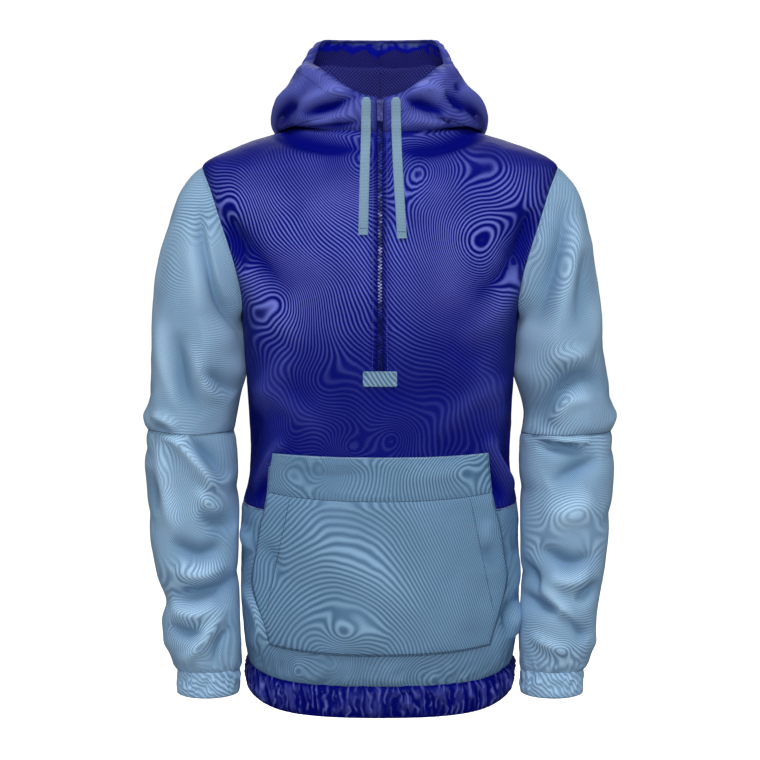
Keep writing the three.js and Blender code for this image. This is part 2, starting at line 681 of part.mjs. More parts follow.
function slider() {
  const half = SLIDER.width / 2;
  const tall = SLIDER.height / 2;
  const shape = new THREE.Shape([
    new THREE.Vector2(-half, tall - SLIDER.taper),
    new THREE.Vector2(-half + SLIDER.taper, tall),
    new THREE.Vector2(half - SLIDER.taper, tall),
    new THREE.Vector2(half, tall - SLIDER.taper),
    new THREE.Vector2(half - SLIDER.taper, -tall),
    new THREE.Vector2(-half + SLIDER.taper, -tall),
  ]);
  return joined(plate(shape, SLIDER.thick, sliderBackY(), SLIDER.z), bridge());
}

// The slider's bridge: a small arch from the side, which the pull hangs on.
function bridge() {
  const { inner, outer, width, reach, root } = BRIDGE;
  const shape = new THREE.Shape();
  shape.moveTo(reach + root, outer);
  shape.lineTo(0, outer);
  shape.absarc(0, 0, outer, Math.PI / 2, -Math.PI / 2, false);
  shape.lineTo(reach + root, -outer);
  shape.lineTo(reach + root, -inner);
  shape.lineTo(0, -inner);
  shape.absarc(0, 0, inner, -Math.PI / 2, Math.PI / 2, true);
  shape.lineTo(reach + root, inner);
  const geometry = new THREE.ExtrudeGeometry(shape, { depth: width, bevelEnabled: false, curveSegments: 6 });
  geometry.rotateX(Math.PI / 2).rotateZ(Math.PI / 2);
  return geometry.translate(-width / 2, pivotY(), pivotZ);
}

function zipPull() {
  const half = PULL.width / 2;
  const shape = new THREE.Shape();
  shape.moveTo(-half, PULL.eyeTop);
  shape.lineTo(-half, PULL.round - PULL.length);
  shape.absarc(-half + PULL.round, PULL.round - PULL.length, PULL.round, Math.PI, 1.5 * Math.PI, false);
  shape.absarc(half - PULL.round, PULL.round - PULL.length, PULL.round, 1.5 * Math.PI, 2 * Math.PI, false);
  shape.lineTo(half, PULL.eyeTop);
  const eye = new THREE.Path();
  eye.moveTo(-PULL.eyeHalf, -PULL.eyeTop);
  eye.lineTo(PULL.eyeHalf, -PULL.eyeTop);
  eye.lineTo(PULL.eyeHalf, -PULL.eyeBottom);
  eye.lineTo(-PULL.eyeHalf, -PULL.eyeBottom);
  shape.holes.push(eye);
  return plate(shape, PULL.thick, pivotY() + PULL.thick / 2, pivotZ);
}

// ---------------------------------------------------------------- cords
function cord(route) {
  const w = CORD.width / 2;
  const t = CORD.thick / 2;
  const c = CORD.corner;
  const lower = [[-w, t - c], [-w, c - t], [c - w, -t], [w - c, -t]];
  const upper = [[w, c - t], [w, t - c], [w - c, t], [c - w, t]];
  const outline = [...lower, ...upper];
  const shape = new THREE.Shape(outline.map(([x, y]) => new THREE.Vector2(x, y)));
  const path = new THREE.CatmullRomCurve3(route.map((point) => new THREE.Vector3(...point)));
  return new THREE.ExtrudeGeometry(shape, { steps: CORD.steps, bevelEnabled: false, extrudePath: path });
}

// ---------------------------------------------------------------- joining
function toSolid(geometry) {
  const bare = geometry.clone();
  bare.deleteAttribute("normal");
  bare.deleteAttribute("uv");
  const merged = mergeVertices(bare, 1e-4);
  return new wasm.Manifold(
    new wasm.Mesh({
      numProp: 3,
      vertProperties: merged.attributes.position.array,
      triVerts: new Uint32Array(merged.index.array),
    }),
  );
}

function joined(first, second) {
  const mesh = toSolid(first).add(toSolid(second)).getMesh();
  const geometry = new THREE.BufferGeometry();
  geometry.setAttribute("position", new THREE.BufferAttribute(mesh.vertProperties, 3));
  geometry.setIndex(new THREE.BufferAttribute(mesh.triVerts, 1));
  return geometry;
}

// ---------------------------------------------------------------- the garment
const garment = new THREE.Group();

function add(name, geometry, color, roughness = 0.85, metalness = 0) {
  const mesh = new THREE.Mesh(geometry, new THREE.MeshStandardMaterial({ color, roughness, metalness }));
  mesh.name = name;
  garment.add(mesh);
}

add("front_upper", upperPanel(-1), ROYAL);
add("back_upper", upperPanel(1), ROYAL);
add("front_lower", lowerPanel(0), LIGHT);
add("back_lower", lowerPanel(180), LIGHT);
add("hem_band", hemBand(), ROYAL);
for (const [name, side] of [["left", -1], ["right", 1]]) {
  add(`sleeve_upper_${name}`, sleeveStretch(side, 0, ELBOW_ROW, UPPER_SLEEVE_STEPS), LIGHT);
  add(`sleeve_lower_${name}`, sleeveStretch(side, ELBOW_ROW, CUFF_TOP_ROW, LOWER_SLEEVE_STEPS), LIGHT);
  add(`cuff_${name}`, sleeveStretch(side, CUFF_TOP_ROW, CUFF_BOTTOM_ROW, CUFF_STEPS), LIGHT);
  add(`hood_${name}`, hoodHalf(side), ROYAL);
  add(`zip_tape_${name}`, zipTape(side), ROYAL);
  add(`drawcord_${name}`, cord(CORD_ROUTES[name]), LIGHT);
}
add("pocket_panel", pocketPanel(), LIGHT);
add("pocket_band", pocketBand(), LIGHT);
add("zip_patch", zipPatch(), LIGHT);
add("zip_chain", zipChain(), ROYAL, 0.5);
add("zip_slider", slider(), ROYAL, 0.4);
add("zip_pull", zipPull(), ROYAL, 0.4);

export default garment;
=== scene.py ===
# %% [markdown]
# # A half-zip hoodie, dressed in Blender
# The hoodie stands in the hollow form it has when worn: two body panels above, two below, sleeves in two
# stretches, a hood that lies back in a bag, a kangaroo pocket, a gathered hem and a short zip. The solids
# that carry its weight and collisions are loaded first. Each cloth piece is then sewn again over its solid
# as a thin shell with creases, a twill weave and stitches.

import bpy
import bmesh
import math
import numpy as np
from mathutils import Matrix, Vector, noise
from mathutils.bvhtree import BVHTree
from mathutils.kdtree import KDTree


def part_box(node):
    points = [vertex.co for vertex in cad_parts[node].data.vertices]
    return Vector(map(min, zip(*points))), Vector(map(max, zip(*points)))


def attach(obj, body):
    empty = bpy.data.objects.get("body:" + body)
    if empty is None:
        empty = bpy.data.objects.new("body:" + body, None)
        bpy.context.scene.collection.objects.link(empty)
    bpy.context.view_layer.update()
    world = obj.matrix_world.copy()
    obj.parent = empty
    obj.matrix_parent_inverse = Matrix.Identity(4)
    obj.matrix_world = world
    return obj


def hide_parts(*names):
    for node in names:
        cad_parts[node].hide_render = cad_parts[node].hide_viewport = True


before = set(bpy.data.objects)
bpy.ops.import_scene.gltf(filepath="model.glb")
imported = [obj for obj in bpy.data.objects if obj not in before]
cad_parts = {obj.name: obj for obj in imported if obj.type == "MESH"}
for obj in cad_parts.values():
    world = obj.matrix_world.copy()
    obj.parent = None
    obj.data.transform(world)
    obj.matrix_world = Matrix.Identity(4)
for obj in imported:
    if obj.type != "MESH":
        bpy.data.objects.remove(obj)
bpy.context.view_layer.update()
SCENE = bpy.context.scene

# %% [markdown]
# ## Camera
# A long lens from a little above shows the garment nearly flat, as a catalogue picture does. The lens is
# worked out from how many pixels one radian covers, so that the frame is the same whatever the render size.

# %% Place the camera
PICTURE_PIXELS = 760
PIXELS_PER_RADIAN = 2000
SENSOR = 36.0
CAMERA_DISTANCE = 2.4
CAMERA_TILT = math.radians(8)
CAMERA_AIM = Vector((0, 0, -0.302))

back = Vector((0, -math.cos(CAMERA_TILT), math.sin(CAMERA_TILT)))
bpy.ops.object.camera_add(location=CAMERA_AIM + CAMERA_DISTANCE * back)
camera = bpy.context.object
camera.name = "camera"
camera.rotation_euler = (-back).to_track_quat("-Z", "Y").to_euler()
camera.data.sensor_width = SENSOR
camera.data.lens = SENSOR * PIXELS_PER_RADIAN / PICTURE_PIXELS
SCENE.camera = camera
print("lens:", round(camera.data.lens, 1), "mm")

# %% [markdown]
# ## Small tools for the workbench
# Operators act on whatever is selected, so every step starts from one selected piece. Many points are read
# from a mesh at once, as an array. A smooth route is a Catmull-Rom curve through a few given points.

# %% Workbench tools
def only(piece):
    """Select this piece alone."""
    if bpy.context.object and bpy.context.object.mode != "OBJECT":
        bpy.ops.object.mode_set(mode="OBJECT")
    bpy.ops.object.select_all(action="DESELECT")
    piece.select_set(True)
    bpy.context.view_layer.objects.active = piece


def start_edit(piece, pick="SELECT"):
    """Open one piece in edit mode, with all of it picked, or none of it with DESELECT."""
    only(piece)
    bpy.ops.object.mode_set(mode="EDIT")
    bpy.ops.mesh.select_all(action=pick)


def apply_all(piece):
    """Apply the piece's modifiers, in order."""
    only(piece)
    for modifier in list(piece.modifiers):
        bpy.ops.object.modifier_apply(modifier=modifier.name)


def mesh_piece(name, points, faces):
    """A new piece from points and faces."""
    mesh = bpy.data.meshes.new(name)
    mesh.from_pydata([tuple(point) for point in points], [], faces)
    piece = bpy.data.objects.new(name, mesh)
    SCENE.collection.objects.link(piece)
    return piece


def read(items, key, width, kind=float):
    """One property of every vertex, edge or corner, as an array with a row for each."""
    flat = np.empty(len(items) * width, kind)
    items.foreach_get(key, flat)
    return flat.reshape(-1, width)


def read_points(mesh):
    return read(mesh.vertices, "co", 3)


def write_points(mesh, points):
    mesh.vertices.foreach_set("co", points.ravel())
    mesh.update()


# %% Curve tools
def passed_by(line):
    """How far along a line each of its points lies."""
    return np.concatenate([[0], np.cumsum(np.linalg.norm(np.diff(line, axis=0), axis=1))])


def smooth_route(points, count):
    """A Catmull-Rom curve through the points, with count samples for each stretch."""
    points = np.array(points, float)
    padded = np.vstack([2 * points[0] - points[1], points, 2 * points[-1] - points[-2]])
    route = []
    for p0, p1, p2, p3 in zip(padded, padded[1:], padded[2:], padded[3:]):
        for t in np.arange(count) / count:
            route.append(
                0.5 * (2 * p1 + (p2 - p0) * t + (2 * p0 - 5 * p1 + 4 * p2 - p3) * t**2
                       + (3 * p1 - p0 - 3 * p2 + p3) * t**3)
            )
    return np.vstack([route, points[-1]])


def smooth_step(value, low, high):
    """0 below low, 1 above high, and a soft climb between."""
    t = np.clip((value - low) / (high - low), 0, 1)
    return t * t * (3 - 2 * t)


# %% [markdown]
# ## Drawcords
# A flat woven cord comes out of a slot on each side of the zip and hangs in front of the chest. It could be
# a curve with a bevel, but a flat section would twist with the curve. Here a rounded strip is swept along
# the route instead, and its flat side is kept turned to the chest. The routes are the solids' own.

# %% The cords' sizes and routes
CORD_WIDTH = 0.011
CORD_THICK = 0.0016
CORD_POINT = 0.0055  # the top is folded narrow over this length, to CORD_TIP of the width
CORD_TIP = 0.25
CORD_SIDES = 16
CORD_STEPS = 6  # rings for each stretch of the route
CORD_UNEVEN = 0.04  # share by which the width wanders
CORD_CREASE = math.radians(50)
CORD_ROUTES = {
    "left": [
        (-0.0156, -0.0829, 0.0335), (-0.0156, -0.0846, 0.0325), (-0.0157, -0.0854, 0.028),
        (-0.0158, -0.0856, 0.020), (-0.0159, -0.0858, 0.011), (-0.0160, -0.0879, 0.001),
        (-0.0162, -0.0886, -0.009), (-0.0165, -0.0912, -0.019), (-0.0168, -0.0956, -0.030),
        (-0.0171, -0.1000, -0.041), (-0.0174, -0.1034, -0.052), (-0.0178, -0.1066, -0.064),
        (-0.0181, -0.1096, -0.077), (-0.0184, -0.1122, -0.091), (-0.0187, -0.1148, -0.106),
        (-0.0190, -0.1170, -0.120),
    ],
    "right": [
        (0.0180, -0.0827, 0.0335), (0.0180, -0.0844, 0.0325), (0.0180, -0.0852, 0.028),
        (0.0181, -0.0854, 0.020), (0.0182, -0.0857, 0.011), (0.0184, -0.0879, 0.001),
        (0.0187, -0.0886, -0.009), (0.0191, -0.0912, -0.019), (0.0195, -0.0956, -0.030),
        (0.0200, -0.1000, -0.041), (0.0206, -0.1034, -0.052), (0.0213, -0.1066, -0.064),
        (0.0221, -0.1096, -0.077), (0.0230, -0.1122, -0.091), (0.0239, -0.1148, -0.106),
        (0.0248, -0.1173, -0.124),
    ],
}


# %% Sweep the drawcords
def cord_section():
    """The cord's section: a flat oval with blunt edges."""
    turns = np.linspace(0, 2 * math.pi, CORD_SIDES, endpoint=False)
    return [(abs(math.cos(a)) ** 0.35 * math.copysign(CORD_WIDTH / 2, math.cos(a)),
             abs(math.sin(a)) ** 0.8 * math.copysign(CORD_THICK / 2, math.sin(a))) for a in turns]


def sweep_strip(name, route):
    """A flat strip with rounded edges along a route, its broad side kept across X."""
    centres = smooth_route(route, CORD_STEPS)
    lengths = passed_by(centres)
    narrow = CORD_TIP + (1 - CORD_TIP) * np.sqrt(np.clip(lengths / CORD_POINT, 0, 1))
    section = cord_section()
    points = []
    for number, centre in enumerate(centres):
        ahead = centres[min(number + 1, len(centres) - 1)] - centres[max(number - 1, 0)]
        along = Vector(ahead).normalized()
        across = (Vector((1, 0, 0)) - along * along.x).normalized()
        out = along.cross(across)
        wide = narrow[number] * (1 + CORD_UNEVEN * math.sin(number * 1.9) * math.sin(number * 0.43))
        points += [Vector(centre) + across * a * wide + out * b for a, b in section]
    ring = CORD_SIDES
    last = len(centres) - 1
    faces = [(r * ring + i, r * ring + (i + 1) % ring, (r + 1) * ring + (i + 1) % ring, (r + 1) * ring + i)
             for r in range(last) for i in range(ring)]
    faces += [tuple(range(ring))[::-1], tuple(range(last * ring, (last + 1) * ring))]
    strip = mesh_piece(name, points, faces)
    layer = strip.data.uv_layers.new(name="weave")
    for loop in strip.data.loops:
        row, place = divmod(loop.vertex_index, ring)
        layer.data[loop.index].uv = (section[place][0], lengths[row])
    start_edit(strip)
    bpy.ops.mesh.normals_make_consistent(inside=False)
    bpy.ops.object.mode_set(mode="OBJECT")
    bpy.ops.object.shade_smooth_by_angle(angle=CORD_CREASE)
    return strip, centres, float(lengths[-1])


# %% Hang the drawcords
cords = {}
for side, route in CORD_ROUTES.items():
    cord, centres, length = sweep_strip(f"cord_{side}", route)
    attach(cord, "garment")
    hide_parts(f"drawcord_{side}")
    cords[side] = cord
    print(cord.name, "length", round(length, 3), "m")

# %% [markdown]
# ## Cutting a panel from its solid
# Each cloth solid is a closed wall. Its rim faces all have an edge exactly as long as the wall is thick, so
# they can be picked out and deleted, and the wall falls apart into an outer and an inner skin. A skin edge
# may have that length by chance, and the small hole that it leaves is filled again. The outer skin is the
# one that faces away from the middle of the body or sleeve. Its triangles are joined back into four-sided
# faces, so that subdivision runs along the cloth.

# %% Tell the skins apart
CLOTH_WALL = 0.002
TRIM_WALL = 0.001
WALL_SLACK = 0.00004
SAME_PLACE = 0.00001


def islands(bm):
    """The groups of faces that hang together."""
    left = set(bm.faces)
    groups = []
    while left:
        stack = [left.pop()]
        group = set(stack)
        while stack:
            beside = {face for edge in stack.pop().edges for face in edge.link_faces} & left
            left -= beside
            group |= beside
            stack += beside
        groups.append(group)
    return groups


def facing_out(group, middle):
    """How far a group of faces looks away from a middle. A None in the middle is taken at each face."""
    total = 0
    for face in group:
        centre = face.calc_center_median()
        pivot = Vector([c if m is None else m for c, m in zip(centre, middle)])
        total += face.calc_area() * face.normal.dot((centre - pivot).normalized())
    return total


def inner_faces(bm, middle):
    """The faces of every island but the one that looks outwards most."""
    skins = sorted(islands(bm), key=lambda group: facing_out(group, middle))
    return [face for group in skins[:-1] for face in group]


def wall_faces(bm, wall):
    """The faces with an edge exactly as long as the wall is thick."""
    return [face for edge in bm.edges if abs(edge.calc_length() - wall) < WALL_SLACK
            for face in edge.link_faces]


def delete_faces(piece, choose):
    """Delete the faces that choose picks from the piece that is open in edit mode."""
    bpy.ops.mesh.select_all(action="DESELECT")
    bm = bmesh.from_edit_mesh(piece.data)
    for face in choose(bm):
        face.select = True
    bmesh.update_edit_mesh(piece.data)
    bpy.ops.mesh.delete(type="FACE")


# %% Take the outer skin of a solid
def right_angle(face):
    """How far a triangle is from a right angle: 0 is exact."""
    a, b, c = sorted(edge.calc_length() for edge in face.edges)
    return abs(c * c - a * a - b * b) / (c * c)


def join_triangles(bm):
    """Take out the diagonal of every cell. All run the same way, so one true diagonal shows the rest."""
    start = min(bm.faces, key=right_angle)
    diagonal = {start: max(start.edges, key=lambda edge: edge.calc_length())}
    stack = [start]
    while stack:
        face = stack.pop()
        for edge in face.edges:
            for mate in edge.link_faces:
                if mate in diagonal:
                    continue
                if edge is diagonal[face]:
                    diagonal[mate] = edge
                else:
                    held = next(v for v in edge.verts if v in diagonal[face].verts)
                    corner = edge.other_vert(held)
                    diagonal[mate] = next(e for e in mate.edges if e is not edge and corner in e.verts)
                stack.append(mate)
    bm.edges.index_update()
    spare = sorted(set(diagonal.values()), key=lambda edge: edge.index)
    bmesh.ops.dissolve_edges(bm, edges=spare, use_verts=False)


def outer_skin(node, name, middle, wall):
    """A copy of a solid's outer skin. middle is a point inside it."""
    piece = bpy.data.objects.new(name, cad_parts[node].data.copy())
    SCENE.collection.objects.link(piece)
    piece.data.materials.clear()
    start_edit(piece)
    bpy.ops.mesh.remove_doubles(threshold=SAME_PLACE)
    delete_faces(piece, lambda bm: wall_faces(bm, wall))
    bpy.ops.mesh.select_all(action="SELECT")
    bpy.ops.mesh.fill_holes(sides=4)
    bpy.ops.mesh.select_all(action="SELECT")
    bpy.ops.mesh.quads_convert_to_tris(quad_method="SHORTEST_DIAGONAL")
    delete_faces(piece, lambda bm: inner_faces(bm, middle))
    join_triangles(bmesh.from_edit_mesh(piece.data))
    bmesh.update_edit_mesh(piece.data)
    bpy.ops.object.mode_set(mode="OBJECT")
    odd = sum(len(face.vertices) != 4 for face in piece.data.polygons)
    print(f"{name}: {len(piece.data.polygons)} faces, {odd} without four sides")
    return piece


# %% [markdown]
# ## The flat cut and the weave
# A weave only looks right when it knows the flat cut of its panel, so each skin is unwrapped before it is
# smoothed. A tube is first cut open along one line of its cage. The unwrapped map is then scaled until one
# unit is one metre and turned so that its V runs up the garment, as the grain of the cloth does. The same
# map gives the size that the panel was cut to.

# %% Unwrap a skin at real size
def cut_tube(piece, seam_at):
    """Mark a seam along the line of cage edges that starts nearest to a point of the open rim."""
    only(piece)
    bpy.ops.object.mode_set(mode="EDIT")
    bpy.ops.mesh.select_mode(type="EDGE")
    bpy.ops.mesh.select_all(action="DESELECT")
    bm = bmesh.from_edit_mesh(piece.data)
    rim = [e for e in bm.edges if not e.is_boundary and any(v.is_boundary for v in e.verts)]
    nearest = min(rim, key=lambda e: min((v.co - Vector(seam_at)).length for v in e.verts if v.is_boundary))
    nearest.select = True
    bmesh.update_edit_mesh(piece.data)
    bpy.ops.mesh.loop_multi_select(ring=False)
    bpy.ops.mesh.mark_seam()
    bpy.ops.object.mode_set(mode="OBJECT")


def shoelace(corners):
    """The area inside a flat ring of corners."""
    x, y = corners[:, 0], corners[:, 1]
    return abs(np.dot(x, np.roll(y, -1)) - np.dot(y, np.roll(x, -1))) / 2


def unwrap_flat(piece):
    """Unwrap, scale the map to metres, and turn it until V follows the garment's height."""
    start_edit(piece)
    bpy.ops.uv.unwrap(method="ANGLE_BASED", margin=0)
    bpy.ops.object.mode_set(mode="OBJECT")
    mesh = piece.data
    layer = mesh.uv_layers.active
    layer.name = "weave"
    uv = read(layer.data, "uv", 2)
    flat_area = sum(shoelace(uv[list(face.loop_indices)]) for face in mesh.polygons)
    solid_area = sum(face.area for face in mesh.polygons)
    uv *= math.sqrt(solid_area / flat_area)
    heights = np.array([mesh.vertices[loop.vertex_index].co.z for loop in mesh.loops])
    fit = np.linalg.lstsq(np.column_stack([uv, np.ones(len(uv))]), heights, rcond=None)[0]
    turn = math.pi / 2 - math.atan2(fit[1], fit[0])
    uv = uv @ np.array([[math.cos(turn), math.sin(turn)], [-math.sin(turn), math.cos(turn)]])
    uv -= uv.min(0)
    layer.data.foreach_set("uv", uv.ravel())
    return uv.max(0), solid_area


# %% [markdown]
# ## Creases
# A crease is a soft ridge (+) or trough (-) along a short route. Its points are given on the view of the
# garment that shows it: front and back on X and Z, the two sides on Y and Z. The lift falls away across the
# route as a bell, sharper in a trough than on a ridge. It fades out at both ends, and where the cloth turns
# out of that view.

# %% Crease tools
VIEWS = {  # which way the cloth faces, and the two axes the routes are drawn on
    "front": ((0, -1, 0), (0, 2)),
    "back": ((0, 1, 0), (0, 2)),
    "left": ((-1, 0, 0), (1, 2)),
    "right": ((1, 0, 0), (1, 2)),
}
CREASE_FADE = 0.3
CREASE_GAIN = 2.3
CREASE_STEPS = 6
RIDGE_SHAPE = 2.0
TROUGH_SHAPE = 1.4
MM = 1000  # the crease and band tables are in millimetres


def along_route(flat, route):
    """Distance to a route and the share of its length at the nearest point, for many points at once."""
    best = np.full(len(flat), 1e9)
    share = np.zeros(len(flat))
    lengths = np.linalg.norm(np.diff(route, axis=0), axis=1)
    passed = 0.0
    for start, end, length in zip(route, route[1:], lengths):
        t = np.clip(((flat - start) @ (end - start)) / length**2, 0, 1)
        distance = np.linalg.norm(flat - start - t[:, None] * (end - start), axis=1)
        closer = distance < best
        best[closer] = distance[closer]
        share[closer] = (passed + t[closer] * length) / lengths.sum()
        passed += length
    return best, share


def crease_lift(points, normals, view, creases):
    """How far the creases of one view lift each point along its normal."""
    facing, axes = VIEWS[view]
    seen = smooth_step(normals @ np.array(facing), 0.0, CREASE_FADE)
    flat = points[:, axes]
    lift = np.zeros(len(points))
    for row in creases:
        width, height, *places = np.array(row) / MM
        route = np.reshape(places, (-1, 2))
        if len(route) > 2:
            route = smooth_route(route, CREASE_STEPS)
        reach = 3 * width
        box = np.all((flat > route.min(0) - reach) & (flat < route.max(0) + reach), axis=1) & (seen > 0)
        distance, share = along_route(flat[box], route)
        ends = 4 * share * (1 - share)
        sharp = RIDGE_SHAPE if height > 0 else TROUGH_SHAPE
        bell = np.exp(-((distance / width) ** sharp))
        lift[box] += CREASE_GAIN * height * ends * bell * seen[box]
    return lift


# %% [markdown]
# Sleeves break at the elbow and pile up above the cuffs. The body pulls in from the armholes, and blouses
# over the waist seam beside the pocket. No two creases are alike. Each row is the width of the bell, its
# height, and then the places of the route, two numbers for each.

# %% Creases of the front
SLEEVE_FRONT = [
    # left sleeve, upper stretch
    (4.8, -3.4, -213, -85, -204, -129, -191, -190, -175, -229, -162, -268),
    (6, 2.2, -203, -100, -193, -160, -176, -206),
    (8, 2.6, -254, -222, -249, -280, -238, -328),
    (10, -4, -210, -282, -191, -291, -170, -312),
    (10, 2.2, -226, -110, -216, -160, -206, -215),
    (12, -4, -238, -235, -227, -300, -204, -336),
    (9, 2.6, -222, -245, -206, -292, -186, -322),
    (12, 2, -262, -200, -258, -270, -262, -325),
    (5.5, 4, -270, -336, -252, -338, -234, -349),
    # left sleeve, lower stretch
    (3.5, -3, -268, -350, -250, -351, -237, -357),
    (7.5, 5, -262, -356, -238, -360, -212, -390, -192, -424),
    (9.5, -4.6, -226, -358, -198, -386, -178, -412),
    (9, 2.8, -259, -362, -252, -425, -238, -480),
    (9, -2.4, -270, -400, -266, -455),
    (7, 2.6, -215, -418, -200, -440, -182, -452),
    (11, -3.6, -214, -450, -192, -462, -170, -470),
    (10, -5.2, -248, -484, -214, -497, -182, -490),
    (10, 3.6, -242, -517, -212, -522, -182, -512),
    (9.5, -5.2, -246, -549, -214, -545, -188, -540, -170, -530),
    (9, 3.4, -250, -566, -216, -569, -190, -558),
    (8, -4.2, -252, -584, -228, -592, -206, -590),
    (8, 3.4, -236, -632, -212, -604, -182, -560),
    (7, -2.6, -196, -634, -190, -608, -176, -585),
    # right sleeve, upper stretch
    (9, -3.6, 218, -83, 203, -152, 179, -233),
    (10, 2.2, 232, -100, 222, -160, 206, -230),
    (12, -2.8, 240, -140, 228, -238),
    (11, 2, 256, -190, 250, -262),
    (9.5, -5, 184, -350, 198, -318, 215, -297, 241, -288, 270, -306),
    (10, 2.6, 196, -272, 222, -264, 250, -262),
    (9, 3, 200, -344, 220, -318, 252, -314),
    # right sleeve, lower stretch
    (5, 4.6, 180, -358, 212, -360, 236, -362, 246, -368),
    (6.5, -4.2, 184, -372, 214, -372, 240, -379),
    (10, -4.6, 196, -414, 226, -398, 258, -384),
    (16, 3.6, 190, -446, 222, -448, 252, -430),
    (9.5, -5.4, 184, -490, 204, -500, 226, -508, 254, -500),
    (5.5, -3.6, 166, -510, 181, -526, 187, -548),
    (9, 3, 196, -526, 224, -530, 250, -522),
    (8, -4.2, 228, -552, 246, -545, 262, -534),
    (7.5, 3.6, 184, -532, 212, -560, 240, -594),
    (7.5, -4.2, 168, -551, 190, -560, 213, -566),
    (8, -4.8, 212, -566, 230, -583, 246, -604),
    (8, 2.6, 176, -596, 200, -606, 226, -614),
]
BODY_FRONT = [
    (7, -3.4, -128, -8, -70, -22, -14, -24),
    (6, 1.4, -110, 2, -60, -9, -12, -10),
    (7, -3.6, 14, -26, 66, -24, 126, -6),
    (6, 1.4, 12, -12, 60, -10, 110, 2),
    (10, -3.6, -174, -96, -168, -130, -156, -168),
    (10, -4, 174, -90, 168, -125, 157, -162),
    (7.5, 5, -113, -356, -130, -394, -150, -428),
    (6, -4, -122, -382, -136, -410, -146, -440),
    (9, -3.4, -146, -330, -152, -372, -160, -410),
    (14, 2.2, -104, -250, -128, -300, -148, -330),
    (7.5, 5.2, 124, -356, 142, -394, 160, -433),
    (6, -4, 134, -366, 150, -396, 164, -420),
    (6, -3.2, 118, -386, 132, -414, 146, -440),
    (14, 2, 112, -262, 132, -318, 152, -348),
    (16, -2.2, -176, -100, -140, -150, -90, -190),
    (15, 2, -170, -150, -128, -206, -80, -252),
    (16, -2.2, 178, -105, 146, -160, 100, -205),
    (15, 1.8, 168, -160, 132, -212, 86, -246),
    (13, 1.8, -160, -300, -110, -315, -60, -352),
    (13, 1.8, 160, -292, 104, -314, 56, -356),
    # beside and below the pocket
    (8.5, 4.6, -163, -540, -143, -566, -139, -590, -152, -616),
    (6, -3.4, -146, -520, -132, -560, -130, -600),
    (8, 2.6, -164, -470, -156, -500),
    (6.5, 4.4, 165, -560, 158, -588, 164, -604),
    (5, -3.6, 152, -556, 150, -580, 156, -600),
    (8, 2.4, 160, -500, 164, -530, 156, -556),
]
POCKET_FRONT = [
    (12, -1, -118, -392, -60, -398, -10, -392),
    (12, 1, 20, -400, 70, -396, 116, -388),
    (8, -1.6, -140, -480, -124, -500, -120, -530),
    (7, 1.8, 130, -452, 124, -470, 134, -492),
    (6, -1.6, 134, -474, 126, -496, 136, -516),
    (18, 2, -60, -560, -30, -576, 10, -588),
    (26, 2.2, -100, -470, -30, -500, 50, -560),
]

# %% Creases of the back
SLEEVE_BACK = [
    (10, -3.6, -196, -90, -188, -150, -176, -215),
    (13, 2.6, -232, -130, -226, -200, -210, -262),
    (12, -3.6, -262, -240, -242, -290, -206, -318),
    (9, 4, -268, -352, -232, -372, -184, -366),
    (10, -4.4, -262, -386, -226, -408, -188, -398),
    (11, 3.2, -256, -448, -220, -470, -186, -458),
    (10, -4.6, -250, -502, -214, -512, -184, -496),
    (9, -4, -244, -548, -210, -562, -180, -548),
    (8, 3.4, -240, -606, -206, -596, -182, -610),
    (10, -3.4, 196, -85, 192, -140, 178, -205),
    (13, 2.6, 236, -120, 230, -190, 214, -250),
    (11, -3.8, 258, -262, 236, -300, 200, -312),
    (9, 3.6, 264, -356, 230, -362, 188, -380),
    (10, -4, 260, -394, 224, -396, 190, -412),
    (11, 3.2, 258, -462, 222, -450, 188, -466),
    (10, -4.8, 252, -496, 216, -504, 184, -518),
    (9, -4, 246, -556, 212, -546, 182, -560),
    (8, 3.4, 238, -598, 208, -608, 184, -600),
]
BODY_BACK = [
    (16, -2.6, -178, -110, -132, -180, -80, -230),
    (15, 2.4, -166, -200, -108, -252, -50, -282),
    (16, -2.6, 180, -100, 140, -168, 92, -226),
    (15, 2.4, 168, -190, 120, -246, 58, -290),
    (13, -2.6, -150, -310, -70, -336, 30, -330),
    (13, 2.6, 150, -330, 80, -356, -30, -368),
    (12, 2.8, -152, -392, -90, -404, -10, -398),
    (12, -2.8, 152, -386, 90, -410, 20, -420),
    (10, -2.4, -156, -424, -96, -434, -30, -430),
    (14, 2, -60, -470, -66, -540, -50, -600),
    (14, -2, 70, -480, 78, -550, 66, -610),
    (11, 2.6, 140, -500, 134, -560, 142, -612),
    (11, -2.4, -140, -490, -146, -560, -136, -610),
]

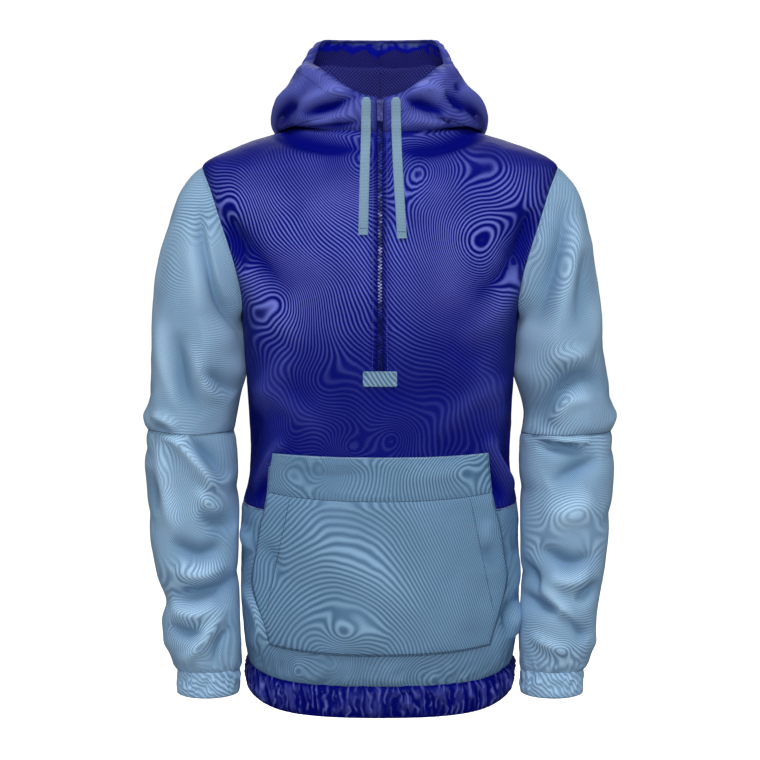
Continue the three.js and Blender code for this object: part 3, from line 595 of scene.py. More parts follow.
# %% Creases of the sleeves' sides and the hood
SLEEVE_OUTER = [  # the same routes serve both outer sides, and the two sleeves break at other heights anyway
    (11, -1.4, -60, -300, -20, -318, 30, -306),
    (8, 1.4, -62, -350, -24, -340, 24, -352),
    (9, -1.2, -66, -392, -30, -380, 14, -392),
    (10, -1.2, -70, -470, -36, -458, 4, -470),
    (8, 1, -72, -604, -46, -612, -16, -602),
    (14, 1.6, -30, -110, -20, -190, -24, -260),
]
SLEEVE_INNER = [  # the sleeve rests against the body below the armhole
    (22, 3.2, -90, -238, -10, -246, 70, -240),
    (20, 2.7, -90, -280, -10, -288, 70, -282),
    (10, -1, -80, -420, -30, -428, 30, -420),
    (10, -1.2, -80, -520, -40, -530, 10, -520),
]
HOOD_FRONT = [
    (6, -2.8, -22, 34, -40, 31, -58, 24, -94, 14),
    (8, 1.8, -24, 18, -50, 10, -92, 0),
    (8, 3, -30, 46, -60, 38, -100, 22),
    (4.5, -2.4, -20, 6, -60, 1, -96, -2),
    (6.2, -3, 24, 33, 44, 27, 62, 21, 78, 16),
    (4.6, -2.4, 74, 42, 86, 30, 100, 20),
    (7.5, 3, 30, 48, 56, 43, 74, 34),
    (8.5, 1.2, 24, 14, 50, 8, 76, 0),
    (4, -2.2, 88, 52, 94, 40),
]
HOOD_BACK = [
    (12, 3.6, -90, 20, -60, -30, -20, -70),
    (12, 3.6, 92, 26, 64, -26, 24, -64),
    (10, -3.6, -76, -20, -44, -62, -10, -94),
    (10, -3.6, 78, -14, 50, -56, 14, -90),
    (10, -2.6, -70, 70, -40, 40, -16, 0),
    (10, -2.6, 66, 74, 40, 44, 14, 10),
]
HOOD_SIDE = [
    (10, 3.6, -40, 50, 10, 30, 60, -10, 110, -50),
    (9, -3.6, -50, 30, 0, 10, 60, -30),
    (11, -3, 20, 70, 70, 40, 120, 0),
]

# %% [markdown]
# ## From a skin to a piece of cloth
# A cage of a few hundred faces is too coarse for cloth. Catmull-Clark subdivision makes it fine, but it
# also pulls every corner inwards. So the cage is first pushed out until the smoothed surface passes through
# the places where the solid's corners are. That leaves ripples along the rows of the cage, and they are
# ironed out.

# %% Smooth a cage through its own corners
CAGE_ROUNDS = 4


def smooth_through(piece, levels):
    """Subdivide a cage so that the fine surface passes through the cage's corners."""
    smoother = piece.modifiers.new("smoother", "SUBSURF")
    smoother.levels = levels
    smoother.render_levels = levels
    smoother.boundary_smooth = "PRESERVE_CORNERS"
    smoother.uv_smooth = "PRESERVE_BOUNDARIES"
    target = read_points(piece.data)
    cage = target.copy()
    for _ in range(CAGE_ROUNDS):
        bpy.context.view_layer.update()
        fine = piece.evaluated_get(bpy.context.evaluated_depsgraph_get()).data
        cage += target - read_points(fine)[:len(target)]
        write_points(piece.data, cage)
    apply_all(piece)


# %% Iron a fine mesh
IRON_RIM = 0.016
IRON_CLOTH = 8.2e-4  # rounds needed for a cell of one metre, to iron out ripples shorter than 50 mm
IRON_ROUNDS = 240  # at most


def iron(points, edges, weight, rounds):
    """Move every point towards the middle of its neighbours, many times."""
    count = len(points)
    degree = np.bincount(edges.ravel(), minlength=count)[:, None]
    for _ in range(rounds):
        total = np.column_stack([
            np.bincount(edges[:, 0], points[edges[:, 1], axis], count)
            + np.bincount(edges[:, 1], points[edges[:, 0], axis], count) for axis in range(3)
        ])
        points = points + 0.5 * weight * (total / degree - points)
    return points


def relax(mesh, to_rim):
    """Iron out the rows of the cage, leave the rim where it is, and give back what broad forms lost."""
    points = read_points(mesh)
    edges = read(mesh.edges, "vertices", 2, int)
    cell = np.median(np.linalg.norm(points[edges[:, 0]] - points[edges[:, 1]], axis=1))
    rounds = int(min(IRON_CLOTH / cell**2, IRON_ROUNDS))
    weight = smooth_step(to_rim, 0, IRON_RIM)[:, None]
    once = iron(points, edges, weight, rounds)
    write_points(mesh, once + iron(points - once, edges, weight, rounds))


# %% Find the open rim
def find_nearest(points, places):
    """For every point: the nearest of some places, its number and its distance."""
    tree = KDTree(len(places))
    for number, place in enumerate(places):
        tree.insert(place, number)
    tree.balance()
    return [tree.find(point) for point in points]


def open_edges(mesh):
    """The two ends of every rim edge, and the middle of the one face beside it."""
    owners = {}
    for face in mesh.polygons:
        for loop in face.loop_indices:
            owners.setdefault(mesh.loops[loop].edge_index, []).append(face.index)
    return [(*mesh.edges[edge].vertices, np.array(mesh.polygons[faces[0]].center))
            for edge, faces in owners.items() if len(faces) == 1]


def rim_of(mesh):
    """For every point: how far it is from the open rim, and which way leads out over it. And the rim."""
    points = read_points(mesh)
    normals = read(mesh.vertex_normals, "vector", 3)
    outward = []
    places = []
    for a, b, inner in open_edges(mesh):
        middle = (points[a] + points[b]) / 2
        out = np.cross(points[b] - points[a], normals[a] + normals[b])
        out *= np.sign(out @ (middle - inner)) / np.linalg.norm(out)
        outward += [out, out, out]
        places += [points[a], middle, points[b]]
    found = find_nearest(points, places)
    return np.array([f[2] for f in found]), np.array([outward[f[1]] for f in found]), np.array(places)


def rim_chains(mesh):
    """The open rims as ordered rings of places, each with the direction that leads out over the rim."""
    points = read_points(mesh)
    beside = {}
    inner = {}
    for a, b, middle in open_edges(mesh):
        for start, end in ((a, b), (b, a)):
            beside.setdefault(start, []).append(end)
            inner.setdefault(start, []).append(middle)
    chains = []
    left = set(beside)
    while left:
        chain = []
        ahead = [min(left)]
        while ahead:
            chain.append(ahead[0])
            left.discard(ahead[0])
            ahead = [v for v in beside[chain[-1]] if v in left]
        rim = points[chain]
        along = np.roll(rim, -1, axis=0) - np.roll(rim, 1, axis=0)
        along /= np.linalg.norm(along, axis=1)[:, None]
        out = rim - np.array([np.mean(inner[v], axis=0) for v in chain])
        out -= along * (out * along).sum(1)[:, None]
        chains.append((rim, out / np.linalg.norm(out, axis=1)[:, None]))
    return chains


# %% [markdown]
# Cloth is never quite even. Perlin noise gives it soft dents without a pattern, and the same noise wrapped
# round a middle gives the upright ripples of elastic.

# %% Noise
NOISE_STEP = (7.3, 3.1, 5.7)  # how far one seed lies from the next
SWAY = 0.25  # share of the pitch by which ripples sway as they climb
SWAY_CLIMB = 55
SWAY_TURN = 9
SEED_LAYER = 4.7


def softness(points, wave, seed):
    """Smooth noise between about -1 and 1, with bumps roughly as long as wave."""
    shift = Vector([seed * step for step in NOISE_STEP])
    return np.array([noise.noise(Vector(point) + shift) for point in points * (2 / wave)])


def flat_noise(across, up, layer):
    """Smooth noise over two rows of numbers."""
    return np.array([noise.noise(Vector((a, b, layer))) for a, b in zip(across, up)])


def streaks(points, centre, pitch, slant, run, seed, front=1):
    """Ripples that stand side by side round a middle, uneven in width, and lean by slant as they climb.

    They are counted from the front, so they don't meet at the back, and with front=-1 the other way."""
    radius = np.linalg.norm(points[:, :2] - centre, axis=1)
    angle = np.arctan2(points[:, 0] - centre[0], -front * (points[:, 1] - centre[1]))
    lean = angle * radius.mean() + slant * points[:, 2]
    sway = SWAY * pitch * np.sin(points[:, 2] * SWAY_CLIMB + angle * SWAY_TURN + seed)
    return flat_noise((lean + sway) * (2 / pitch), points[:, 2] * (2 / run), seed * SEED_LAYER)


# %% [markdown]
# ## Watered bands
# Fine ribs that are stretched a little, or that run over a bump, fall in and out of step with each other, and
# the eye sees wide light and dark bands, as on watered silk. They follow the form like the height lines of a
# map. So each vertex gets a height, counted in bands: a plain slope, a few listed hills, and the lift of its
# own creases. The finish turns that count into bands.

# %% Band tables
LIFT_BANDS = 340.0  # bands for each metre of crease height
BAND_HILLS = {  # x, z, reach, bands
    "front": [
        # chest and belly
        (-32, -38, 46, 14), (-117, -198, 48, -14), (108, -140, 62, 19),
        (46, -49, 30, -9), (156, -152, 30, -8), (-160, -85, 40, -7),
        (140, -40, 50, -9), (-104, -350, 22, 6.5), (-36, -367, 20, 6),
        (16, -352, 20, -5.5), (100, -300, 60, -9), (-70, -300, 40, 6),
        # pocket and below it
        (-44, -586, 20, 4), (-112, -396, 24, 7), (-64, -392, 20, -6),
        (90, -392, 24, 6), (134, -480, 24, 5), (-140, -500, 24, -3.5),
        (40, -628, 24, 5), (-100, -626, 22, 6), (-50, -622, 20, -5),
        # sleeves
        (-240, -200, 50, 9), (-196, -150, 40, 6), (235, -170, 50, 12),
        (205, -250, 40, -9), (222, -300, 30, 7), (-215, -440, 34, 9),
        (222, -430, 50, 10), (210, -520, 40, -9), (-215, -530, 36, -9),
        (-225, -610, 30, 8), (215, -604, 30, 8), (-256, -420, 28, -6),
        # hood
        (-60, 30, 30, 5), (60, 28, 30, -6),
    ],
    "back": [
        (-90, -120, 55, 14), (85, -150, 60, -15), (0, -270, 60, 14),
        (-70, -360, 45, -9), (90, -390, 45, 9), (-60, -540, 60, 14),
        (80, -560, 60, -13), (-225, -200, 50, 10), (225, -180, 50, -10),
        (-215, -470, 50, -10), (215, -490, 50, 10), (0, 0, 50, 8),
    ],
}
BAND_STYLE = {  # slope in bands for each metre along X and Z, strength, and how patchy that strength is
    "front_upper": (150.0, 125.0, 1.00, 0.20), "back_upper": (150.0, -130.0, 0.90, 0.30),
    "front_lower": (190.0, -90.0, 0.55, 0.60), "back_lower": (180.0, 90.0, 0.55, 0.50),
    "pocket_panel": (0.0, 125.0, 0.75, 0.30), "pocket_band": (210.0, -40.0, 0.75, 0.50),
    "hem_band": (150.0, 40.0, 0.15, 0.10), "sleeve_upper_left": (50.0, 320.0, 0.50, 0.90),
    "sleeve_upper_right": (-270.0, 90.0, 0.50, 0.90), "sleeve_lower_left": (200.0, 20.0, 0.55, 0.90),
    "sleeve_lower_right": (20.0, -240.0, 0.60, 0.90), "cuff_left": (150.0, 120.0, 0.90, 0.30),
    "cuff_right": (150.0, 120.0, 0.90, 0.30), "hood_left": (230.0, 150.0, 0.30, 0.80),
    "hood_right": (-80.0, 250.0, 0.50, 0.70), "zip_patch": (210.0, 165.0, 1.00, 0.0),
}
BAND_ARCH = {"pocket_panel": (-0.045, 1250.0)}  # middle, and bands for each square metre away from it
BAND_DIM = [(95, -240, 60, 0.50), (0, -250, 50, 0.25)]  # x, z, reach, share lost
WANDER = 2.4
ARCH_WANDER = 0.7
WANDER_WAVE = 0.110
PATCH_WAVE = 0.100
# the bands fade below the chest and at its top: painted light on the chest, painted shade on the belly and
# the chest's top
CHEST_FADE = (-0.30, -0.17)
BELLY_SHADE_SHARE = 0.88
NECK_FADE = (-0.09, -0.03)
NECK_SHADE_SHARE = 0.6
ZIP_SHADE_EDGE = (0.007, 0.0125)  # the bands fade out beside the zip, so the cloth is darker there: painted shade
ZIP_FRONT = -0.06
ZIP_LOW = -0.290
RIDGE_BAND_LIGHT = 170.0  # bands are painted clearer on a ridge, as painted light, and fainter in a trough, as painted shade


# %% Count the bands
def hill(points, x, z, reach):
    """A round hill of height 1 on the front or back view, from numbers in millimetres."""
    far = (points[:, 0] - x / MM) ** 2 + (points[:, 2] - z / MM) ** 2
    return np.exp(-far / (reach / MM) ** 2)


def count_bands(node, points, normals, lift):
    """Bands at each vertex: a slope, hills, the creases, and a slow wander."""
    across, up, _, _ = BAND_STYLE[node]
    count = across * points[:, 0] + up * points[:, 2] + LIFT_BANDS * lift
    wander = WANDER
    if node in BAND_ARCH:
        middle, spread = BAND_ARCH[node]
        count += spread * (points[:, 0] - middle) ** 2
        wander = ARCH_WANDER
    for view, sign in (("front", -1), ("back", 1)):
        facing = smooth_step(sign * normals[:, 1], -0.2, 0.4)
        for x, z, reach, height in BAND_HILLS[view]:
            count += facing * height * hill(points, x, z, reach)
    return count + wander * softness(points, WANDER_WAVE, 91)


def band_strength(node, points, normals, lift):
    """How clear the bands are at each vertex. Cloth that turns to the side shows none, which also leaves the
    sides dark as painted shade. Ridges get clearer bands as painted light and troughs fainter ones as painted
    shade, and on the chest the bands fade towards the belly, at the top and beside the zip, as painted shade.
    """
    _, _, strong, patchy = BAND_STYLE[node]
    strength = strong * (1 + 2 * patchy * softness(points, PATCH_WAVE, 92))
    # the bands fade where the cloth turns to the side, which also leaves the sides dark: painted shade
    strength *= smooth_step(np.abs(normals[:, 1]), 0.25, 0.85)
    # clearer bands on ridges are painted light, fainter bands in troughs painted shade
    strength *= np.clip(1 + RIDGE_BAND_LIGHT * lift, 0.25, 1.6)
    if node == "front_upper":
        for x, z, reach, share in BAND_DIM:
            strength *= 1 - share * hill(points, x, z, reach)
        # painted shade on the belly and on the chest's top
        strength *= 1 - BELLY_SHADE_SHARE * (1 - smooth_step(points[:, 2], *CHEST_FADE))
        strength *= 1 - NECK_SHADE_SHARE * smooth_step(points[:, 2], *NECK_FADE)
    # painted shade beside the zip: the bands fade out there
    if node in ("front_upper", "hood_left", "hood_right"):
        beside = (points[:, 1] < ZIP_FRONT) & (points[:, 2] > ZIP_LOW)
        strength *= np.where(beside, 0.25 + 0.75 * smooth_step(np.abs(points[:, 0]), *ZIP_SHADE_EDGE), 1)
    return np.clip(strength, 0.0, 1.1)


# %% [markdown]
# ## Sewing
# Each panel is sewn over its own solid: it says how fine it is made, which creases it has and how it is
# gathered. The turned-in seam sinks the cloth by a millimetre along its rim, so that two panels meet in a
# shallow valley, as a sewn seam does. Solidify gives the wall, inwards. Two more maps ride along for the
# finish: one holds the bands and their strength, the other the depth of the folds, from which the finish
# paints light on ridges and shade in troughs, and, on the hood, the distance to its opening.

# %% Seams, puckers and walls
SHELL_WALL = 0.0016
SOFT_WAVES = (0.060, 0.024)
FINE_SOFT = 0.3  # share of the softness in the shorter wave
SEAM_SINK = 0.0013
SEAM_REACH = 0.0045
SEAM_CLOSE = 0.0009
PUCKER_WAVE = 0.011
PUCKER_HEIGHT = 0.0007
PUCKER_REACH = 0.012
STRIP_REACH = 0.040
FOLD_SHADE_DEPTH = 0.009  # a crease this high gets the full painted light in the finish, and one this deep the full painted shade
FINE_FOLD_SHADE_DEPTH = {"hem_band": 0.0022, "hood_left": 0.0045, "hood_right": 0.0045}
CLOTH = {}
RIMS = {}


def add_map(mesh, name, across, up):
    """A UV map that holds two numbers of every vertex."""
    corner = read(mesh.loops, "vertex_index", 1, int)[:, 0]
    pairs = np.column_stack([across, up])[corner]
    mesh.uv_layers.new(name=name).data.foreach_set("uv", pairs.ravel())


def give_wall(piece, wall):
    """Thicken a shell inwards. The inside gets the second material."""
    thick = piece.modifiers.new("thick", "SOLIDIFY")
    thick.thickness = wall
    thick.offset = -1
    thick.material_offset = 1
    thick.material_offset_rim = 0
    piece.data.materials.append(None)
    piece.data.materials.append(None)
    apply_all(piece)
    only(piece)
    bpy.ops.object.shade_smooth()


def lift_of(points, normals, to_rim, rim, soft, creases, gathers, cover, pucker, sink):
    """How far the cloth stands out from its smooth form at each point."""
    lift = soft * softness(points, SOFT_WAVES[0], 1) + FINE_SOFT * soft * softness(points, SOFT_WAVES[1], 2)
    for view, table in creases:
        lift += crease_lift(points, normals, view, table)
    for gather in gathers:
        lift += gather(points, rim)
    if cover is not None:
        lift = np.where(lift > 0, lift * (1 - cover(points)), lift)
    near = np.exp(-((to_rim / PUCKER_REACH) ** 2)) * smooth_step(to_rim, 0, SEAM_REACH)
    lift += pucker * near * softness(points, PUCKER_WAVE, 3)
    lift *= smooth_step(to_rim, -0.002, 0.008)
    return lift - sink * np.exp(-((to_rim / SEAM_REACH) ** 2))


# %% Sew one panel
def sew(node, middle, levels, creases=(), gathers=(), seam_at=None, soft=0.0010,
        pucker=PUCKER_HEIGHT, cover=None, wall=SHELL_WALL, solid_wall=CLOTH_WALL, sink=SEAM_SINK,
        finish=None, opening=None):
    """Make the cloth piece that stands for one solid."""
    piece = outer_skin(node, f"cloth_{node}", middle, solid_wall)
    if seam_at is not None:
        cut_tube(piece, seam_at)
    flat, area = unwrap_flat(piece)
    smooth_through(piece, levels)
    mesh = piece.data
    to_rim, out, rim = rim_of(mesh)
    relax(mesh, to_rim)
    points = read_points(mesh)
    normals = read(mesh.vertex_normals, "vector", 3)
    lift = lift_of(points, normals, to_rim, rim, soft, creases, gathers, cover, pucker, sink)
    strength = band_strength(node, points, normals, lift)
    add_map(mesh, "bands", count_bands(node, points, normals, lift), strength)
    far = np.ones(len(points)) if opening is None else np.clip(opening(points, rim) / STRIP_REACH, 0, 1)
    # the fold depth goes to the finish, which paints light on ridges and shade in troughs
    add_map(mesh, "folds", np.tanh(lift / FINE_FOLD_SHADE_DEPTH.get(node, FOLD_SHADE_DEPTH)), far)
    mesh.uv_layers["weave"].active_render = True
    close = SEAM_CLOSE * np.exp(-((to_rim / SEAM_REACH) ** 2))
    sewn = points + normals * lift[:, None] + out * close[:, None]
    write_points(mesh, sewn if finish is None else finish(points, sewn, rim))
    RIMS[node] = rim_chains(mesh)
    give_wall(piece, wall)
    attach(piece, "garment")
    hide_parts(node)
    CLOTH[node] = piece
    print(f"{piece.name}: cut {flat[0]:.3f} x {flat[1]:.3f} m, {area:.4f} m2, {len(mesh.polygons)} faces")


# %% [markdown]
# ## Gathers
# Elastic pulls the hem and the cuffs together, and the cloth above them puckers into short upright ripples.
# They fade away from the seam. The waist seam carries a faint pull of the same kind. The hem band itself is
# gathered hardest, and its ripples break into thin ridges that hook sideways below the seam.

# %% Gather a panel near a seam
BODY_MIDDLE = np.array([0.0, 0.0])
BODY_HALF = 0.15
UNSEEN = 0.02  # a ripple weaker than this share is left out


def gather_near(height, reach, pitch, lift, seed, slant=0.0, run=0.050, middle=BODY_MIDDLE, droop=0.0):
    """Ripples that are strongest at a height, and fade over reach above and below it."""
    def add(points, rim):
        level = height - droop * (1 - np.clip(np.abs(points[:, 0]) / BODY_HALF, 0, 1) ** 2)
        fade = np.exp(-(((points[:, 2] - level) / reach) ** 2))
        near = fade > UNSEEN
        out = np.zeros(len(points))
        out[near] = lift * fade[near] * streaks(points[near], middle, pitch, slant, run, seed)
        return out
    return add


# %% Gather the hem
HEM_TOP = -0.638
HEM_DROOP = 0.009  # the seam hangs lower at the middle of the front
HEM_HALF = 0.16
RIDGE_PITCH = 0.0150
RIDGE_HEIGHT = 0.0030
RIDGE_HOOK = 0.009
RIDGE_DEPTH = 0.009
RIDGE_HALF = 0.36  # half a ridge's width, in noise
RIDGE_CLIMB = 0.007
RIDGE_UNEVEN = 0.9
RIDGE_SETTLE = 0.30  # the share of a ridge by which the hollows sink
BROAD_PITCH = 0.05


def hem_ridges(points, rim):
    """Thin crooked ridges that hook sideways below the seam, with wide hollows between them."""
    top = HEM_TOP - HEM_DROOP * (1 - np.clip(np.abs(points[:, 0]) / HEM_HALF, 0, 1) ** 6) * (points[:, 1] < 0)
    below = np.clip(top - points[:, 2], 0, None)
    radius = np.linalg.norm(points[:, :2], axis=1).mean()
    around = np.arctan2(points[:, 0], -points[:, 1]) * radius
    around = around + RIDGE_HOOK * np.exp(-below / RIDGE_DEPTH)
    line = flat_noise(around * 2 / RIDGE_PITCH, below * 26, 5.1)
    broad = flat_noise(around * 2 / BROAD_PITCH, below * 20, 8.7)
    ridge = np.clip(1 - np.abs(line) / RIDGE_HALF, 0, 1) ** 2.0
    uneven = ridge * (RIDGE_UNEVEN + RIDGE_UNEVEN * broad) - RIDGE_SETTLE
    return RIDGE_HEIGHT * uneven * smooth_step(below, 0.0, RIDGE_CLIMB)


# %% [markdown]
# ## Body
# The front and back are each an upper and a lower panel that meet at the waist seam. Under the pocket no
# ridge may rise, or it would come through.

# %% Sew the body
BODY_MID = (0, 0, None)
HEM_SEAM = -0.641
WAIST_SEAM = -0.446
POCKET_EDGE_Z = [-0.610, -0.580, -0.548, -0.526, -0.504, -0.462, -0.424, -0.376]
POCKET_EDGE_X = [0.125, 0.134, 0.1435, 0.148, 0.145, 0.1385, 0.128, 0.121]
POCKET_SIDE = (-0.004, 0.004)
POCKET_LOW = (-0.616, -0.608)
POCKET_HIGH = (-0.376, -0.370)


def under_pocket(points):
    """1 below the pocket, 0 away from it."""
    edge = np.interp(points[:, 2], POCKET_EDGE_Z, POCKET_EDGE_X)
    inside = smooth_step(edge - np.abs(points[:, 0]), *POCKET_SIDE) * (points[:, 1] < 0)
    return inside * smooth_step(points[:, 2], *POCKET_LOW) * (1 - smooth_step(points[:, 2], *POCKET_HIGH))


sew("front_upper", BODY_MID, 3, [("front", BODY_FRONT)], cover=under_pocket,
    gathers=[gather_near(WAIST_SEAM, 0.020, 0.018, 0.0012, 3)])
sew("back_upper", BODY_MID, 3, [("back", BODY_BACK)],
    gathers=[gather_near(WAIST_SEAM, 0.020, 0.018, 0.0012, 4)])
sew("front_lower", BODY_MID, 4, [("front", BODY_FRONT)], cover=under_pocket,
    gathers=[gather_near(HEM_SEAM, 0.024, 0.019, 0.0030, 5, slant=-0.35, droop=HEM_DROOP),
             gather_near(WAIST_SEAM, 0.014, 0.018, 0.0010, 6)])
sew("back_lower", BODY_MID, 4, [("back", BODY_BACK)],
    gathers=[gather_near(HEM_SEAM, 0.026, 0.020, 0.0030, 7, slant=0.3),
             gather_near(WAIST_SEAM, 0.014, 0.018, 0.0010, 8)])
sew("hem_band", BODY_MID, 4, seam_at=(0.16, 0.0, -0.64), pucker=0, gathers=[hem_ridges])

# %% [markdown]
# ## Pocket and patch
# The kangaroo pocket is one panel with a band along its top edge. Both lie on the lower body, and the panel
# is a little full, so that it bells out at the sides. A thin patch closes the zip's end.

# %% Sew the pocket and the patch
PATCH_WALL = 0.0009
sew("pocket_panel", BODY_MID, 3, [("front", POCKET_FRONT)], soft=0.0008)
sew("pocket_band", BODY_MID, 4, [("front", POCKET_FRONT)], soft=0.0005)
sew("zip_patch", BODY_MID, 4, soft=0.0002, pucker=0.0003, wall=PATCH_WALL,
    solid_wall=TRIM_WALL, sink=0.0002)

# %% [markdown]
# ## Sleeves
# Each sleeve has an upper stretch from the armhole to the elbow seam, a lower one that piles up in folds,
# and an elastic cuff. The tubes are cut open along the underarm for their flat size.

# %% Sew the sleeves
CUFF_DEPTH = 0.015  # the cuff's ripples are strongest this far below its seam
UNDERARM = 0.2  # a point this far inwards shows which line of the tube is cut

for side, inward, inner_view in (("left", 1, "right"), ("right", -1, "left")):
    creases = [("front", SLEEVE_FRONT), ("back", SLEEVE_BACK), (side, SLEEVE_OUTER),
               (inner_view, SLEEVE_INNER)]
    low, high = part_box(f"cuff_{side}")
    middle = np.array([(low[0] + high[0]) / 2, (low[1] + high[1]) / 2])
    above = gather_near(high[2], 0.016, 0.0125, 0.0026, 11 + inward, run=0.035, middle=middle)
    elastic = gather_near(high[2] - CUFF_DEPTH, 0.030, 0.0100, 0.0024, 21 + inward, run=0.026,
                          middle=middle)
    for stretch, folds, gathers, pucker in (("sleeve_upper", creases, [], PUCKER_HEIGHT),
                                            ("sleeve_lower", creases, [above], PUCKER_HEIGHT),
                                            ("cuff", [], [elastic], 0)):
        low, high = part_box(f"{stretch}_{side}")
        centre = [(a + b) / 2 for a, b in zip(low, high)]
        seam_at = (centre[0] + inward * UNDERARM, centre[1], high[2])
        sew(f"{stretch}_{side}", centre, 3, folds, gathers, seam_at, pucker=pucker)

# %% [markdown]
# ## Hood
# The hood is two mirrored halves with a seam over the crown. It lies back open, so its inside shows. Round
# the opening runs the drawcord's channel: the cloth is folded in and stands in small ripples. Its edge is
# painted paler, as a painted highlight, and the channel and the bag behind it are painted lighter, as painted
# light. Both halves are drawn to the middle plane along the crown, so that the seam stays shut.

# %% Hood tools
HOOD_CREASES = [("front", HOOD_FRONT), ("back", HOOD_BACK), ("left", HOOD_SIDE), ("right", HOOD_SIDE)]
OPENING_MIDDLE = np.array([0.0, 0.012])
OPENING_LOW = 0.0325  # the opening's edge is the part of the rim above this height, off the crown seam
CHANNEL = 0.021
CHANNEL_RIPPLE = 0.0040
CHANNEL_PITCH = 0.0125
CHANNEL_REACH = 0.020
CHANNEL_RUN = 0.08
CHANNEL_CLIMB = (0.045, 0.070)  # the ripples start between these heights
CHANNEL_BEAD = 0.0016
CROWN_NEAR = 0.009
CROWN_END = 0.002
CROWN_FRONT = 0.02
CROWN_REACH = 0.010
CROWN_LAP = 0.0006
BRIM = 0.1005
NECK_LOW, NECK_SEAM, NECK_BACK = -0.02, 0.014, 0.075


def on_crown(rim):
    """Which places of a half's rim are its crown seam. At the seam's two ends other rims start beside it."""
    x, y, z = rim.T
    at_end = (z > BRIM) | ((z < NECK_SEAM) & (z > NECK_LOW) & (y < NECK_BACK))
    return (y > CROWN_FRONT) & (np.abs(x) < np.where(at_end, CROWN_END, CROWN_NEAR))


def to_opening(points, rim):
    """Distance of each point to the edge of the face opening."""
    edge = rim[(rim[:, 2] > OPENING_LOW) & ~on_crown(rim)]
    return np.array([found[2] for found in find_nearest(points, edge)])


def channel_ripples(points, rim):
    """The drawcord's channel is pulled together, so the cloth stands in small ripples round the opening."""
    far = to_opening(points, rim)
    fade = np.exp(-((far / CHANNEL_REACH) ** 2)) * smooth_step(points[:, 2], *CHANNEL_CLIMB)
    near = fade > UNSEEN
    out = np.zeros(len(points))
    ripples = streaks(points[near], OPENING_MIDDLE, CHANNEL_PITCH, 0, CHANNEL_RUN, 31, front=-1)
    out[near] = fade[near] * CHANNEL_RIPPLE * ripples
    middle = 0.45 * CHANNEL
    return out + CHANNEL_BEAD * np.exp(-(((far - middle) / middle) ** 2))


def close_crown(points, sewn, rim):
    """Bring the crown edges of both halves together on the middle plane."""
    found = find_nearest(points, rim[on_crown(rim)])
    astray = np.array([f[0][0] for f in found])
    hold = np.exp(-((np.array([f[2] for f in found]) / CROWN_REACH) ** 2))
    side = np.sign(points[:, 0].mean())
    sewn[:, 0] += hold * (points[:, 0] - astray - side * CROWN_LAP - sewn[:, 0])
    return sewn


# %% Sew the hood
for side in ("left", "right"):
    sew(f"hood_{side}", (0, 0.03, 0.0), 3, HOOD_CREASES, soft=0.0016, gathers=[channel_ripples],
        finish=close_crown, opening=to_opening)

# %% [markdown]
# ## Finishes
# Every finish is a small net of nodes: waves and noise make a level, the level picks a colour from a ramp,
# and the same waves press a bump into the surface. The nets have many nodes of the same few kinds, so a
# finish is built up by a helper that adds one node at a time and hands back what comes out of it.

# %% Node tools
WAVE_BAND = 0.31416  # length of one band of a wave texture at scale 1, in its own units


class Finish:
    """A material with a Principled shader, to which nodes are added one by one."""

    def __init__(self, name):
        self.material = bpy.data.materials.new(name)
        self.material.use_nodes = True
        self.material.node_tree.nodes.clear()
        output = self.material.node_tree.nodes.new("ShaderNodeOutputMaterial")
        self.shader = self.material.node_tree.nodes.new("ShaderNodeBsdfPrincipled")
        self.feed(output, {"Surface": self.shader.outputs["BSDF"]})

    def feed(self, node, inputs):
        """Link or set a node's inputs."""
        for key, value in inputs.items():
            if isinstance(value, bpy.types.NodeSocket):
                self.material.node_tree.links.new(value, node.inputs[key])
            else:
                node.inputs[key].default_value = value

    def add(self, kind, inputs, out=0, **settings):
        """Add a node and hand back one of its outputs."""
        node = self.material.node_tree.nodes.new("ShaderNode" + kind)
        for key, value in settings.items():
            setattr(node, key, value)
        self.feed(node, inputs)
        return node.outputs[out]

    def calc(self, operation, *values):
        return self.add("Math", dict(enumerate(values)), operation=operation)

    def blend_in(self, value, share, level):
        """Add a share of one value to another."""
        return self.calc("MULTIPLY_ADD", value, share, level)

    def remap(self, value, low, high, new_low=0.0, new_high=1.0):
        """Stretch low to high over a new range, and clamp what lies beyond."""
        return self.add("MapRange", {"Value": value, "From Min": low, "From Max": high, "To Min": new_low,
                                     "To Max": new_high})

    def scaled(self, colour, share):
        return self.add("VectorMath", {0: colour, 3: share}, operation="SCALE")

    def noise(self, place, scale, detail, out="Fac"):
        return self.add("TexNoise", {"Vector": place, "Scale": scale, "Detail": detail}, out)

    def wave(self, place, pitch, direction, distortion=0.0, **inputs):
        """Bands one pitch apart across a direction."""
        inputs = {"Vector": place, "Scale": WAVE_BAND / pitch, "Distortion": distortion, **inputs}
        return self.add("TexWave", inputs, "Fac", wave_type="BANDS", bands_direction=direction)

    def turn(self, place, angles):
        return self.add("Mapping", {"Vector": place, "Rotation": angles})

    def on_map(self, name):
        """The place on one of the piece's own maps."""
        return self.add("UVMap", {}, uv_map=name)

    def on_piece(self):
        return self.add("TexCoord", {}, "Object")

    def part(self, vector, axis):
        return self.add("SeparateXYZ", {"Vector": vector}, axis)

    def ramp(self, value, stops):
        """A colour ramp from a list of (place, colour)."""
        colour = self.add("ValToRGB", {"Fac": value})
        band = colour.node.color_ramp
        band.elements[0].position, band.elements[0].color = stops[0][0], (*stops[0][1], 1)
        band.elements[1].position, band.elements[1].color = stops[-1][0], (*stops[-1][1], 1)
        for place, shade in stops[1:-1]:
            band.elements.new(place).color = (*shade, 1)
        return colour

    def done(self, inputs, height=None, strength=0.0, depth=0.0):
        """Feed the shader, with a bump where there is a height, and hand back the material."""
        self.feed(self.shader, inputs)
        if height is not None:
            bump = self.add("Bump", {"Height": height, "Strength": strength, "Distance": depth})
            self.feed(self.shader, {"Normal": bump})
        return self.material
